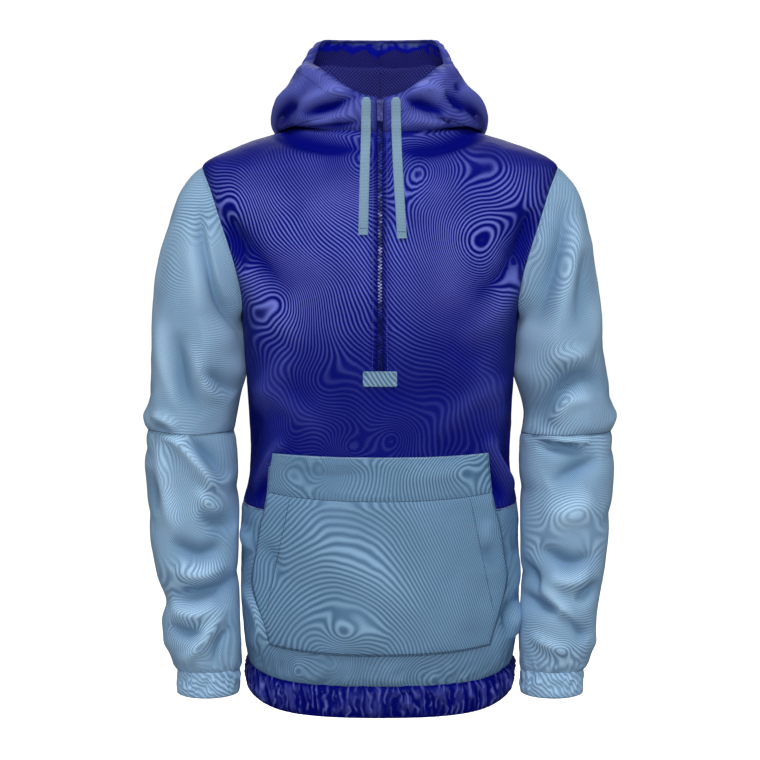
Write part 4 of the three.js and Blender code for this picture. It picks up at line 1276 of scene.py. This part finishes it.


# %% [markdown]
# ## Cloth finishes
# The shell is a smooth twill-faced knit: a bright yarn lies over a dark one in slanting ribs. A picture of it
# would do, but then its size would be fixed. Here waves are run over the unwrapped map, which is in metres.
# The watered bands ride on their own map. Royal cloth is dark where no band catches the light, and a band's
# bright colour on it is partly the pale yarn and partly painted sheen; light cloth stays half bright. Crease
# ridges are painted lighter and troughs darker from the fold map: painted light and painted shade. A second
# wave across the first turns the ribs into the dots of the lining's knit.

# %% What the cloth shows
RIB_PITCH = 0.0017
GRAIN_WANDER = 0.012
GRAIN_SCALE = 7.0
NO_BANDS = (0.0, 0.0)
WRINKLE_PITCH = 0.0085
WRINKLE_SWAY = {"distortion": 6.5, "Detail": 0.5, "Detail Scale": 1.6}
WRINKLE_THIN = 4.5
WRINKLE_BREAK = 75.0
BAG_FRONT = 0.078  # the lining behind this, deep in the hood's bag, is painted lighter: painted light
BAG_SOFT = 0.003
BAG_LIGHT_SHARE = 2.8
RAGGED = 0.7
# the fold depth moves the channel's colour towards its pale edge on ridges: painted highlight
CHANNEL_RIDGE_LIGHT = -0.22
STRIP_END = (0.46, 0.56)


def wandering_grain(finish, place, lean):
    """The weave map with its grain bent a little, and turned by lean degrees."""
    bend = finish.noise(place, GRAIN_SCALE, 1.0, "Color")
    centred = finish.add("VectorMath", {0: bend, 1: (0.5, 0.5, 0.5)}, operation="SUBTRACT")
    moved = finish.scaled(centred, GRAIN_WANDER)
    grain = finish.add("VectorMath", {0: place, 1: moved}, operation="ADD")
    return finish.turn(grain, (0, 0, math.radians(lean)))


def hem_wrinkle_highlights(finish, place):
    """Thin pale lines that sway and break off along the hem: painted highlights of the wrinkles that the
    elastic crushes into the cloth.
    """
    sway = finish.wave(place, WRINKLE_PITCH, "X", **WRINKLE_SWAY)
    thin = finish.calc("POWER", sway, WRINKLE_THIN)
    share = finish.remap(finish.noise(place, WRINKLE_BREAK, 1.0), 0.40, 0.62)
    return finish.calc("MULTIPLY", thin, share)


def watered_bands(finish, bands, sharp):
    """The band map's count turned into light and dark, and the strength beside it."""
    counted = finish.on_map("bands")
    cosine = finish.calc("COSINE", finish.calc("MULTIPLY", finish.part(counted, "X"), 2 * math.pi))
    thin = finish.calc("POWER", finish.remap(cosine, -1.0, 1.0), sharp)
    return finish.remap(thin, 0.0, 1.0, *bands), finish.part(counted, "Y")


def channel_and_bag_light(finish, place, lining, strip):
    """The folded channel inside the hood's edge, over the lining: a ragged pale edge that is a painted
    highlight, then the royal cloth painted far brighter as painted light, and the lining deep in the bag
    painted lighter as painted light.
    """
    edge = finish.on_map("folds")
    ragged = finish.blend_in(finish.noise(place, 60.0, 1.0), RAGGED, -RAGGED / 2)
    far = finish.calc("ADD", finish.part(edge, "Y"), ragged)
    # the channel's colours: a painted highlight at the edge, painted light further in
    wear_and_highlight = finish.ramp(finish.blend_in(finish.part(edge, "X"), CHANNEL_RIDGE_LIGHT, far), strip)
    shown = finish.remap(far, *STRIP_END)
    # the lining deep in the bag is painted lighter: painted light
    behind = finish.part(finish.on_piece(), "Y")
    bag_light = finish.remap(behind, BAG_FRONT - BAG_SOFT, BAG_FRONT, 1.0, BAG_LIGHT_SHARE)
    return finish.add("Mix", {0: shown, 6: wear_and_highlight, 7: finish.scaled(lining, bag_light)}, 2, data_type="RGBA")


# %% Weave a cloth
SLUB_SCALE = 900.0
DRIFT_SCALE = 14.0
RELIEF_DEPTH = 0.0003


def twill(name, dark, bright, rest=0.5, bands=(-0.42, 0.42), sharp=1.0, folds=0.0, pitch=RIB_PITCH, lean=45,
          ribs=0.22, relief=0.12, roughness=0.55, sheen=0.04, tint=(0.8, 0.9, 1, 1), specular=0.4,
          shine=(0.6, 0.85, 1, 1), knit=False, wrinkles=0.0, strip=None):
    """Slanting ribs on the weave map, watered bands, painted light and shade on the folds, slubs, and a
    wandering grain.

    rest is the level between dark and bright where there is no band, bands the lowest and highest that a band
    adds, ribs what the ribs add either way, folds what a full fold adds as painted light on a ridge and
    painted shade in a trough, and wrinkles what a full hem wrinkle adds as a painted highlight. knit crosses
    the ribs, and strip gives the colours of the hood's channel over the lining: a painted highlight on its
    edge and painted light in the channel and the bag."""
    finish = Finish(name)
    place = finish.on_map("weave")
    turned = wandering_grain(finish, place, lean)
    wave = finish.wave(turned, pitch, "X")
    if knit:
        wave = finish.calc("MULTIPLY", wave, finish.wave(turned, pitch, "Y"))
    level = finish.remap(wave, 0.0, 1.0, rest - ribs, rest + ribs)
    # painted highlights along the hem's wrinkles
    if wrinkles:
        line = hem_wrinkle_highlights(finish, place)
        level = finish.blend_in(line, wrinkles, level)
        wave = finish.blend_in(line, 2.0, wave)
    if bands != NO_BANDS:
        band, strength = watered_bands(finish, bands, sharp)
        level = finish.blend_in(band, strength, level)
    # painted light on crease ridges and painted shade in troughs
    if folds:
        level = finish.blend_in(finish.part(finish.on_map("folds"), "X"), folds, level)
    colour = finish.ramp(level, [(0.0, dark), (1.0, bright)])
    # the hood's channel and bag: painted highlight and painted light over the lining
    if strip:
        colour = channel_and_bag_light(finish, place, colour, strip)
    slubs = finish.remap(finish.noise(place, SLUB_SCALE, 2.0), 0.3, 0.7, 0.90, 1.10)
    drift = finish.remap(finish.noise(place, DRIFT_SCALE, 2.0), 0.3, 0.7, 0.94, 1.06)
    dyed = finish.scaled(colour, finish.calc("MULTIPLY", slubs, drift))
    return finish.done({
        "Base Color": dyed, "Roughness": roughness, "Sheen Weight": sheen, "Sheen Roughness": 0.45,
        "Sheen Tint": tint, "Specular IOR Level": specular, "Specular Tint": shine,
    }, wave, relief, RELIEF_DEPTH)


# %% [markdown]
# Copies of one cloth are made lighter or darker by a share: the lower sleeves and the cuffs lighter, as
# painted light, and the upper sleeves, the hood and the zip patch darker, as painted shade. The bands are
# strongest on the smooth chest and hardly show on the hood and the hem.

# %% Colours of the cloth
def painted_light_copy(colours, share):
    """The same two colours, all lighter as painted light or darker as painted shade."""
    return {name: tuple(channel * share for channel in colour) for name, colour in colours.items()}


# a band's bright colour is partly the pale yarn and partly painted sheen
ROYAL = {"dark": (0.0008, 0.0024, 0.185), "bright": (0.190, 0.230, 0.76)}
ROYAL_FINISH = {"roughness": 0.5, "sheen": 0.0, "specular": 0.12, "shine": (0.2, 0.35, 1, 1)}
LIGHT = {"dark": (0.105, 0.225, 0.400), "bright": (0.46, 0.69, 0.93)}
# the lower body and pocket: a darker copy of the light cloth, painted shade
LIGHT_SHADED = {"dark": (0.066, 0.160, 0.305), "bright": (0.300, 0.505, 0.730)}
LINING = {"dark": (0.002, 0.003, 0.070), "bright": (0.052, 0.050, 0.33)}
LIGHT_LINING = {"dark": (0.06, 0.12, 0.20), "bright": (0.20, 0.33, 0.46)}
CORD_YARN = {"dark": (0.13, 0.23, 0.33), "bright": (0.27, 0.42, 0.56)}
# the hood's channel: a pale edge as a painted highlight, then the royal cloth painted far brighter as painted
# light
CHANNEL_LIGHT_RAMP = [(0.0, (0.36, 0.50, 1.0)), (0.14, (0.20, 0.29, 1.0)), (0.28, (0.012, 0.020, 0.95)),
         (1.0, (0.003, 0.006, 0.85))]
KNIT_FINISH = {"rest": 0.58, "bands": NO_BANDS, "pitch": 0.0026, "ribs": 0.42, "knit": True, "roughness": 0.8,
               "sheen": 0.0, "specular": 0.15}

ROYAL_BODY = twill("royal_twill", **ROYAL, rest=0.02, bands=(-0.04, 0.82), sharp=1.8, folds=0.16, ribs=0.035,
                   **ROYAL_FINISH)
# the hood: a darker copy of the royal cloth, painted shade
ROYAL_HOOD = twill("royal_twill_hood", **painted_light_copy(ROYAL, 0.90), rest=0.30, bands=(-0.24, 0.34), folds=0.48,
                   ribs=0.08, **ROYAL_FINISH)
# the hem's pale wrinkle lines are painted highlights
ROYAL_HEM = twill("royal_twill_hem", **ROYAL, rest=0.06, bands=(-0.03, 0.05), folds=0.22, ribs=0.04,
                  wrinkles=0.56, **ROYAL_FINISH)
ROYAL_IN = twill("royal_knit_inside", **LINING, **KNIT_FINISH)
HOOD_LINING = twill("royal_hood_lining", **LINING, strip=CHANNEL_LIGHT_RAMP, **KNIT_FINISH)
# sleeves, cuffs and patch: lighter and darker copies of the light cloth, painted light and painted shade
SLEEVE_UPPER = twill("light_twill_upper", **painted_light_copy(LIGHT, 0.92), folds=0.50)
SLEEVE_LOWER = twill("light_twill_lower", **painted_light_copy(LIGHT, 1.06), folds=0.52)
CUFF_OUT = twill("light_twill_cuff", **painted_light_copy(LIGHT, 1.25), folds=0.40, ribs=0.15)
# the lower body and pocket wear the darker copy: painted shade
LIGHT_SHADED_OUT = twill("light_twill_body", **LIGHT_SHADED, rest=0.38, folds=0.42)
PATCH_OUT = twill("light_twill_patch", **painted_light_copy(LIGHT, 0.78), rest=0.36, bands=(-0.5, 0.6), ribs=0.1)
LIGHT_IN = twill("light_knit_inside", **LIGHT_LINING, bands=NO_BANDS)
CORD_CLOTH = twill("cord_weave", **CORD_YARN, bands=NO_BANDS, pitch=0.0016, lean=90, ribs=0.40, relief=0.5)

# %% Dress the cloth
DRESS = [  # how the panel's name starts, its outside and its inside
    ("hood", ROYAL_HOOD, HOOD_LINING),
    ("hem_band", ROYAL_HEM, ROYAL_IN),
    ("front_upper", ROYAL_BODY, ROYAL_IN),
    ("back_upper", ROYAL_BODY, ROYAL_IN),
    ("sleeve_upper", SLEEVE_UPPER, LIGHT_IN),
    ("sleeve_lower", SLEEVE_LOWER, LIGHT_IN),
    ("cuff", CUFF_OUT, LIGHT_IN),
    ("zip_patch", PATCH_OUT, LIGHT_IN),
    ("", LIGHT_SHADED_OUT, LIGHT_IN),
]
for node, piece in CLOTH.items():
    outside, inside = next(pair for start, *pair in DRESS if node.startswith(start))
    piece.data.materials[0] = outside
    piece.data.materials[1] = inside
    print(node, "wears", outside.name)
for cord in cords.values():
    cord.data.materials.append(CORD_CLOTH)

# %% [markdown]
# ## Stitches
# A seam is held by thread, and its short stitches break the light along it. One stitch is a tiny spindle
# with a few dozen faces. It is modelled once, and copies of it are laid along the seams, pressed a little
# into the cloth, and joined into one mesh for each colour of thread.

# %% Model one stitch
STITCH_LONG = 0.0024
STITCH_WIDE = 0.0010
STITCH_HIGH = 0.7  # share of its width
STITCH_PITCH = 0.0031


def take_model():
    """Close the small piece that is open in edit mode, and keep only its points and faces, to be copied."""
    bpy.ops.object.mode_set(mode="OBJECT")
    piece = bpy.context.object
    points = read_points(piece.data)
    faces = [tuple(face.vertices) for face in piece.data.polygons]
    bpy.data.objects.remove(piece)
    return points, faces


bpy.ops.object.select_all(action="DESELECT")
bpy.ops.mesh.primitive_uv_sphere_add(segments=6, ring_count=4, radius=0.5)
start_edit(bpy.context.object)
bpy.ops.transform.resize(value=(STITCH_WIDE, STITCH_WIDE * STITCH_HIGH, STITCH_LONG))
STITCH = take_model()
print("one stitch:", len(STITCH[1]), "faces")


# %% Lay copies on the cloth
LAY_HIGH = 0.0001


def tree_over(*meshes):
    """A search tree over some meshes."""
    points = []
    faces = []
    for mesh in meshes:
        faces += [tuple(v + len(points) for v in face.vertices) for face in mesh.polygons]
        points += [v.co.copy() for v in mesh.vertices]
    return BVHTree.FromPolygons(points, faces)


def evenly(points, pitch):
    """Places along a line of points, one pitch apart."""
    passed = passed_by(points)
    at = np.arange(pitch / 2, passed[-1], pitch)
    return np.column_stack([np.interp(at, passed, points[:, axis]) for axis in range(3)])


def lay_line(line, surface, pitch=STITCH_PITCH):
    """Places, directions and normals for copies along a line, on the nearest cloth."""
    places = evenly(np.array(line, float), pitch)
    if len(places) < 2:
        return np.zeros((3, 0, 3))
    found = [surface.find_nearest(Vector(place)) for place in places]
    normals = np.array([f[1] for f in found])
    on = np.array([f[0] for f in found]) + normals * LAY_HIGH
    along = np.gradient(on, axis=0)
    along -= normals * (along * normals).sum(1)[:, None]
    along /= np.maximum(np.linalg.norm(along, axis=1), 1e-9)[:, None]
    return on, along, normals


def copies(name, model, laid):
    """One mesh of all copies of a model. Its X lies across the line, its Y along the normal."""
    points, faces = model
    verts = []
    polygons = []
    for on, along, normals in laid:
        across = np.cross(normals, along)
        for place, a, n, c in zip(on, along, normals, across):
            first = len(verts)
            verts.extend(place + points[:, :1] * c + points[:, 1:2] * n + points[:, 2:] * a)
            polygons += [tuple(v + first for v in face) for face in faces]
    piece = mesh_piece(name, verts, polygons)
    only(piece)
    bpy.ops.object.shade_smooth()
    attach(piece, "garment")
    print(f"{name}: {len(polygons) // len(faces)} copies, {len(polygons)} faces")
    return piece


# %% Find the seams
SHORTEST_RUN = 4  # places


def rim_line(node, inset, keep, ring):
    """The stretches of a panel's rim that keep() wants, moved in from the edge."""
    rim, out = RIMS[node][ring]
    inside = rim - out * inset
    wanted = np.array([bool(keep(*point)) for point in rim])
    if wanted.all():
        return [np.vstack([inside, inside[:1]])]
    start = int(np.argmin(wanted))
    runs = [[]]
    for index in [*np.roll(np.arange(len(rim)), -start), start]:
        if wanted[index]:
            runs[-1].append(inside[index])
        else:
            runs.append([])
    return [np.array(run) for run in runs if len(run) >= SHORTEST_RUN]


def seam(nodes, inset, keep, surface=None, rings=(0,)):
    """Rows of stitches along the rims of some panels, laid on the panel itself or on another surface."""
    return [lay_line(line, surface or tree_over(CLOTH[node].data)) for node in nodes for ring in rings
            for line in rim_line(node, inset, keep, ring)]


# %% [markdown]
# Four threads are used. A pale one tops the pocket band and the waist, a dark one draws the pocket and the
# elbows on the light cloth, and the other seams are sewn tone in tone. Each row is a stretch of a panel's
# rim, moved in by as much as the needle stays off the edge.

# %% Where each thread runs
BAND_TOP = -0.378
WAIST = -0.440
FACING = ((0.104, -0.424), (0.133, -0.562))  # the pocket facing's stitch line on one side, on X and Z
FACING_RUN = (0.02, 1, 24)
FROM_FRONT = Vector((0, -0.5, 0))  # a look at the cloth starts this far in front of it
REARWARDS = Vector((0, 1, 0))
CORD_END = 0.008
CORD_STITCH_HALF = 0.0042
CORD_STITCH_PITCH = 0.0027
SIDES = ("left", "right")
front = tree_over(CLOTH["front_upper"].data, CLOTH["front_lower"].data)
pocket = tree_over(CLOTH["pocket_panel"].data)
hood = tree_over(CLOTH["hood_left"].data, CLOTH["hood_right"].data)
HOODS = ["hood_left", "hood_right"]


def facing_line(side):
    """The facing's stitches on one side of the pocket, found by looking at the pocket from in front."""
    (top_x, top_z), (end_x, end_z) = FACING
    line = [Vector((side * (top_x + (end_x - top_x) * t), 0, top_z + (end_z - top_z) * t))
            for t in np.linspace(*FACING_RUN)]
    return lay_line([pocket.ray_cast(place + FROM_FRONT, REARWARDS)[0] for place in line], pocket)


def cord_stitches(side):
    """A short row across the cord, just above its end."""
    x, y, z = CORD_ROUTES[side][-1]
    ends = [(x + half, y - 0.004, z + CORD_END) for half in (-CORD_STITCH_HALF, CORD_STITCH_HALF)]
    return lay_line(ends, tree_over(cords[side].data), CORD_STITCH_PITCH)


pale_lines = seam(["pocket_band"], 0.0012, lambda x, y, z: z > BAND_TOP - 0.004 and abs(x) < 0.120)
pale_lines += seam(["front_upper", "back_upper"], 0.0016, lambda x, y, z: z < WAIST)
dark_lines = seam(["pocket_band"], 0.0009, lambda x, y, z: z < -0.4235 and abs(x) < 0.131)
dark_lines += seam(["pocket_band"], 0.0018, lambda x, y, z: -0.422 < z < -0.380 and abs(x) > 0.115)
dark_lines += seam(["pocket_panel"], 0.0022, lambda x, y, z: z < -0.430)
dark_lines += [facing_line(-1), facing_line(1)]
dark_lines += seam([f"sleeve_upper_{side}" for side in SIDES], 0.0018, lambda x, y, z: z < -0.31,
                   rings=(0, 1))
dark_lines += [cord_stitches(side) for side in SIDES]
light_lines = []
for side in SIDES:
    light_lines += seam([f"sleeve_lower_{side}"], 0.0020, lambda x, y, z: z > -0.50, rings=(0, 1))
    light_lines += seam([f"sleeve_upper_{side}"], 0.0026, lambda x, y, z: z > -0.30, rings=(0, 1))
light_lines += seam(["zip_patch"], 0.0012, lambda x, y, z: True)
royal_lines = seam(["front_upper"], 0.0050, lambda x, y, z: abs(x) < 0.006 and -0.280 < z < -0.010, front)
royal_lines += seam(HOODS, 0.0050, lambda x, y, z: abs(x) < 0.006 and y < -0.05 and z < 0.030, hood)
royal_lines += seam(HOODS, CHANNEL, lambda x, y, z: z > 0.036 and abs(x) > 0.003, hood)
royal_lines += seam(HOODS, 0.0030, lambda x, y, z: abs(x) < 0.002 and y > 0, hood)


# %% Sew the seams
def yarn(name, dark, bright):
    """Twisted thread: two tones in fine grain, and a slow change along the seam."""
    finish = Finish(name)
    place = finish.on_piece()
    fine = finish.noise(place, 1500.0, 2.0)
    level = finish.remap(finish.calc("ADD", fine, finish.noise(place, 60.0, 1.0)), 0.75, 1.25)
    colour = finish.ramp(level, [(0.0, dark), (1.0, bright)])
    return finish.done({"Base Color": colour, "Roughness": 0.5}, fine, 0.3, 0.0001)


for name, lines, slot, dark, bright in (
    ("pale", pale_lines, "royal_cloth", (0.28, 0.34, 0.60), (0.55, 0.62, 0.90)),
    ("dark", dark_lines, "light_cloth", (0.004, 0.012, 0.060), (0.020, 0.050, 0.130)),
    ("light", light_lines, "light_cloth", (0.10, 0.20, 0.30), (0.26, 0.42, 0.56)),
    ("royal", royal_lines, "royal_cloth", (0.010, 0.014, 0.16), (0.090, 0.110, 0.42)),
):
    piece = copies(f"stitches_{name}", STITCH, lines)
    piece.data.materials.append(yarn(f"thread_{name}", dark, bright))

# %% [markdown]
# ## Zip
# The chain's moulded teeth stand in two columns, one on each tape, half a pitch apart, and each leans a
# little towards the other column. One tooth is a bevelled block. Its copies are laid on the chain.

# %% Model one tooth
TOOTH = (0.0029, 0.0016, 0.0017)  # across, out of the tape, along the tape
TOOTH_BEVEL = 0.0004
TOOTH_PITCH = 0.0037
TOOTH_OFFSET = 0.00105
TOOTH_RAISE = 0.0002
TOOTH_LEAN = math.radians(24)
CHAIN_TOP = 0.019
CHAIN_BOTTOM = -0.278

bpy.ops.object.select_all(action="DESELECT")
bpy.ops.mesh.primitive_cube_add(size=1)
start_edit(bpy.context.object)
bpy.ops.transform.resize(value=TOOTH)
bpy.ops.mesh.bevel(offset=TOOTH_BEVEL, segments=1)
TOOTH_MODEL = take_model()

# %% Set the teeth
chain = tree_over(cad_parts["zip_chain"].data)
rows = []
for side, start in ((-1, 0.0), (1, TOOTH_PITCH / 2)):
    heights = np.arange(CHAIN_BOTTOM + start, CHAIN_TOP, TOOTH_PITCH)
    hits = [chain.ray_cast(Vector((side * TOOTH_OFFSET, 0, z)) + FROM_FRONT, REARWARDS) for z in heights]
    on = np.array([hit[0] for hit in hits])
    normals = np.array([hit[1] for hit in hits])
    up = np.gradient(on, axis=0)
    up /= np.linalg.norm(up, axis=1)[:, None]
    across = np.cross(normals, up)
    lean = side * TOOTH_LEAN
    along = up * math.cos(lean) + across * math.sin(lean)
    rows.append((on + normals * TOOTH_RAISE, along, normals))
teeth = copies("zip_teeth", TOOTH_MODEL, rows)

# %% [markdown]
# The teeth's colour is a ramp over the height, broken by soft patches: a painted highlight down the middle of
# the chest and painted shade at both ends. The tapes are woven in crosswise ribs, and the slider and its pull
# are enamelled metal with small worn spots.

# %% Zip finishes
# painted highlight down the middle of the chest, painted shade at both ends
TEETH_PAINTED_LIGHT = [(0.0, (0.008, 0.012, 0.14)), (0.24, (0.020, 0.028, 0.22)), (0.34, (0.40, 0.40, 0.66)),
              (0.58, (0.34, 0.34, 0.62)), (0.68, (0.060, 0.075, 0.34)), (1.0, (0.010, 0.016, 0.18))]


def tooth_plastic():
    """Moulded teeth with a painted highlight down the chest, broken into soft patches of painted glints,
    painted shade at both ends, and a fine uneven gloss.
    """
    finish = Finish("tooth_plastic")
    place = finish.on_piece()
    colour = finish.ramp(finish.remap(finish.part(place, "Z"), -0.285, 0.035), TEETH_PAINTED_LIGHT)
    # soft patches that leave only some teeth pale: painted glints
    glint_patches = finish.remap(finish.noise(place, 150.0, 1.0), 0.42, 0.60, 0.12, 1.1)
    gloss = finish.remap(finish.noise(place, 400.0, 2.0), 0.0, 1.0, 0.25, 0.5)
    return finish.done({"Base Color": finish.scaled(colour, glint_patches), "Roughness": gloss,
                        "Specular IOR Level": 0.3, "Specular Tint": (0.5, 0.6, 1, 1)})


def tape_weave(name, dark, bright, pitch):
    """A tape woven in fine crosswise ribs, with its colour broken by single picks."""
    finish = Finish(name)
    place = finish.on_piece()
    ribs = finish.wave(place, pitch, "Z", distortion=0.4)
    level = finish.calc("MULTIPLY", ribs, finish.noise(place, 700.0, 2.0))
    colour = finish.ramp(level, [(0.0, dark), (0.7, bright)])
    return finish.done({"Base Color": colour, "Roughness": 0.6, "Specular IOR Level": 0.15,
                        "Specular Tint": (0.2, 0.35, 1, 1)}, ribs, 0.5, 0.0002)


def enamel(name, base, wear_and_highlight):
    """Enamelled metal, with the paint thinner in small worn spots."""
    finish = Finish(name)
    spots = finish.noise(finish.on_piece(), 320.0, 3.0)
    colour = finish.ramp(finish.remap(spots, 0.45, 0.75), [(0.0, base), (1.0, wear_and_highlight)])
    gloss = finish.remap(spots, 0.0, 1.0, 0.40, 0.60)
    return finish.done({"Base Color": colour, "Roughness": gloss, "Metallic": 0.35}, spots, 0.15, 0.0002)


TAPE = tape_weave("tape_weave", (0.0010, 0.0020, 0.030), (0.018, 0.024, 0.20), 0.0012)
CHAIN = tape_weave("chain_coil", (0.0010, 0.0020, 0.090), (0.016, 0.024, 0.34), 0.0018)
ENAMEL = enamel("royal_enamel", (0.010, 0.014, 0.16), (0.10, 0.12, 0.42))
teeth.data.materials.append(tooth_plastic())
for node, material in (("zip_tape_left", TAPE), ("zip_tape_right", TAPE), ("zip_chain", CHAIN),
                       ("zip_slider", ENAMEL), ("zip_pull", ENAMEL)):
    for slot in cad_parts[node].material_slots:
        slot.material = material

# %% [markdown]
# ## Studio
# The garment stands in a bright studio without shadows on the ground: a white floor far below the hem runs
# up into a white dome. Both glow by themselves and give the garment no light, so the lamps alone shape its
# folds: one high in front, one level with the hood, a weak one from below, one on each side for the sleeves,
# one behind, and a faint sky.

# %% Floor and dome
FLOOR_Z = -1.1
FLOOR_SIZE = 24.0
DOME_RADIUS = 12.0
PAPER = {"Base Color": (0.9, 0.9, 0.9, 1), "Roughness": 0.9, "Emission Color": (1, 1, 1, 1),
         "Emission Strength": 1.0}

bpy.ops.object.select_all(action="DESELECT")
bpy.ops.mesh.primitive_plane_add(size=FLOOR_SIZE, location=(0, 0, FLOOR_Z))
floor = bpy.context.object
floor.name = "floor"
bpy.ops.mesh.primitive_uv_sphere_add(segments=48, ring_count=24, radius=DOME_RADIUS, location=(0, 0, 0))
dome = bpy.context.object
dome.name = "dome"
for stand in (floor, dome):
    only(stand)
    bpy.ops.object.transform_apply(location=True, rotation=True, scale=True)
    stand.data.materials.append(Finish(f"{stand.name}_paper").done(PAPER))
    stand.visible_diffuse = False
    stand.visible_glossy = False
    stand.visible_transmission = False
    stand.visible_shadow = False

# %% Lamps and sky
LAMP_AIM = Vector((0, 0, -0.30))
SKY_LIGHT = 0.07


def lamp(name, place, size, power, glossy=True):
    """A square lamp that looks at the middle of the garment."""
    bpy.ops.object.light_add(type="AREA", location=place)
    light = bpy.context.object
    light.name = name
    light.data.size = size
    light.data.energy = power
    light.rotation_euler = (LAMP_AIM - Vector(place)).to_track_quat("-Z", "Y").to_euler()
    light.visible_glossy = glossy


lamp("lamp_top", (0, -1.1, 1.9), 0.6, 29)
lamp("lamp_front", (0, -2.5, 0.6), 0.8, 21)
lamp("lamp_low", (0, -2.2, -1.0), 1.2, 9)
lamp("lamp_left", (-2.0, -0.35, 0.0), 0.9, 8, glossy=False)
lamp("lamp_right", (2.0, -0.35, 0.0), 0.9, 8, glossy=False)
lamp("lamp_back", (0, 2.0, 0.9), 1.6, 18)

world = bpy.data.worlds.new("studio_air")
SCENE.world = world
world.use_nodes = True
world.node_tree.nodes["Background"].inputs["Color"].default_value = (1, 1, 1, 1)
world.node_tree.nodes["Background"].inputs["Strength"].default_value = SKY_LIGHT
SCENE.view_settings.view_transform = "Standard"

# %% Update the scene
bpy.context.view_layer.update()
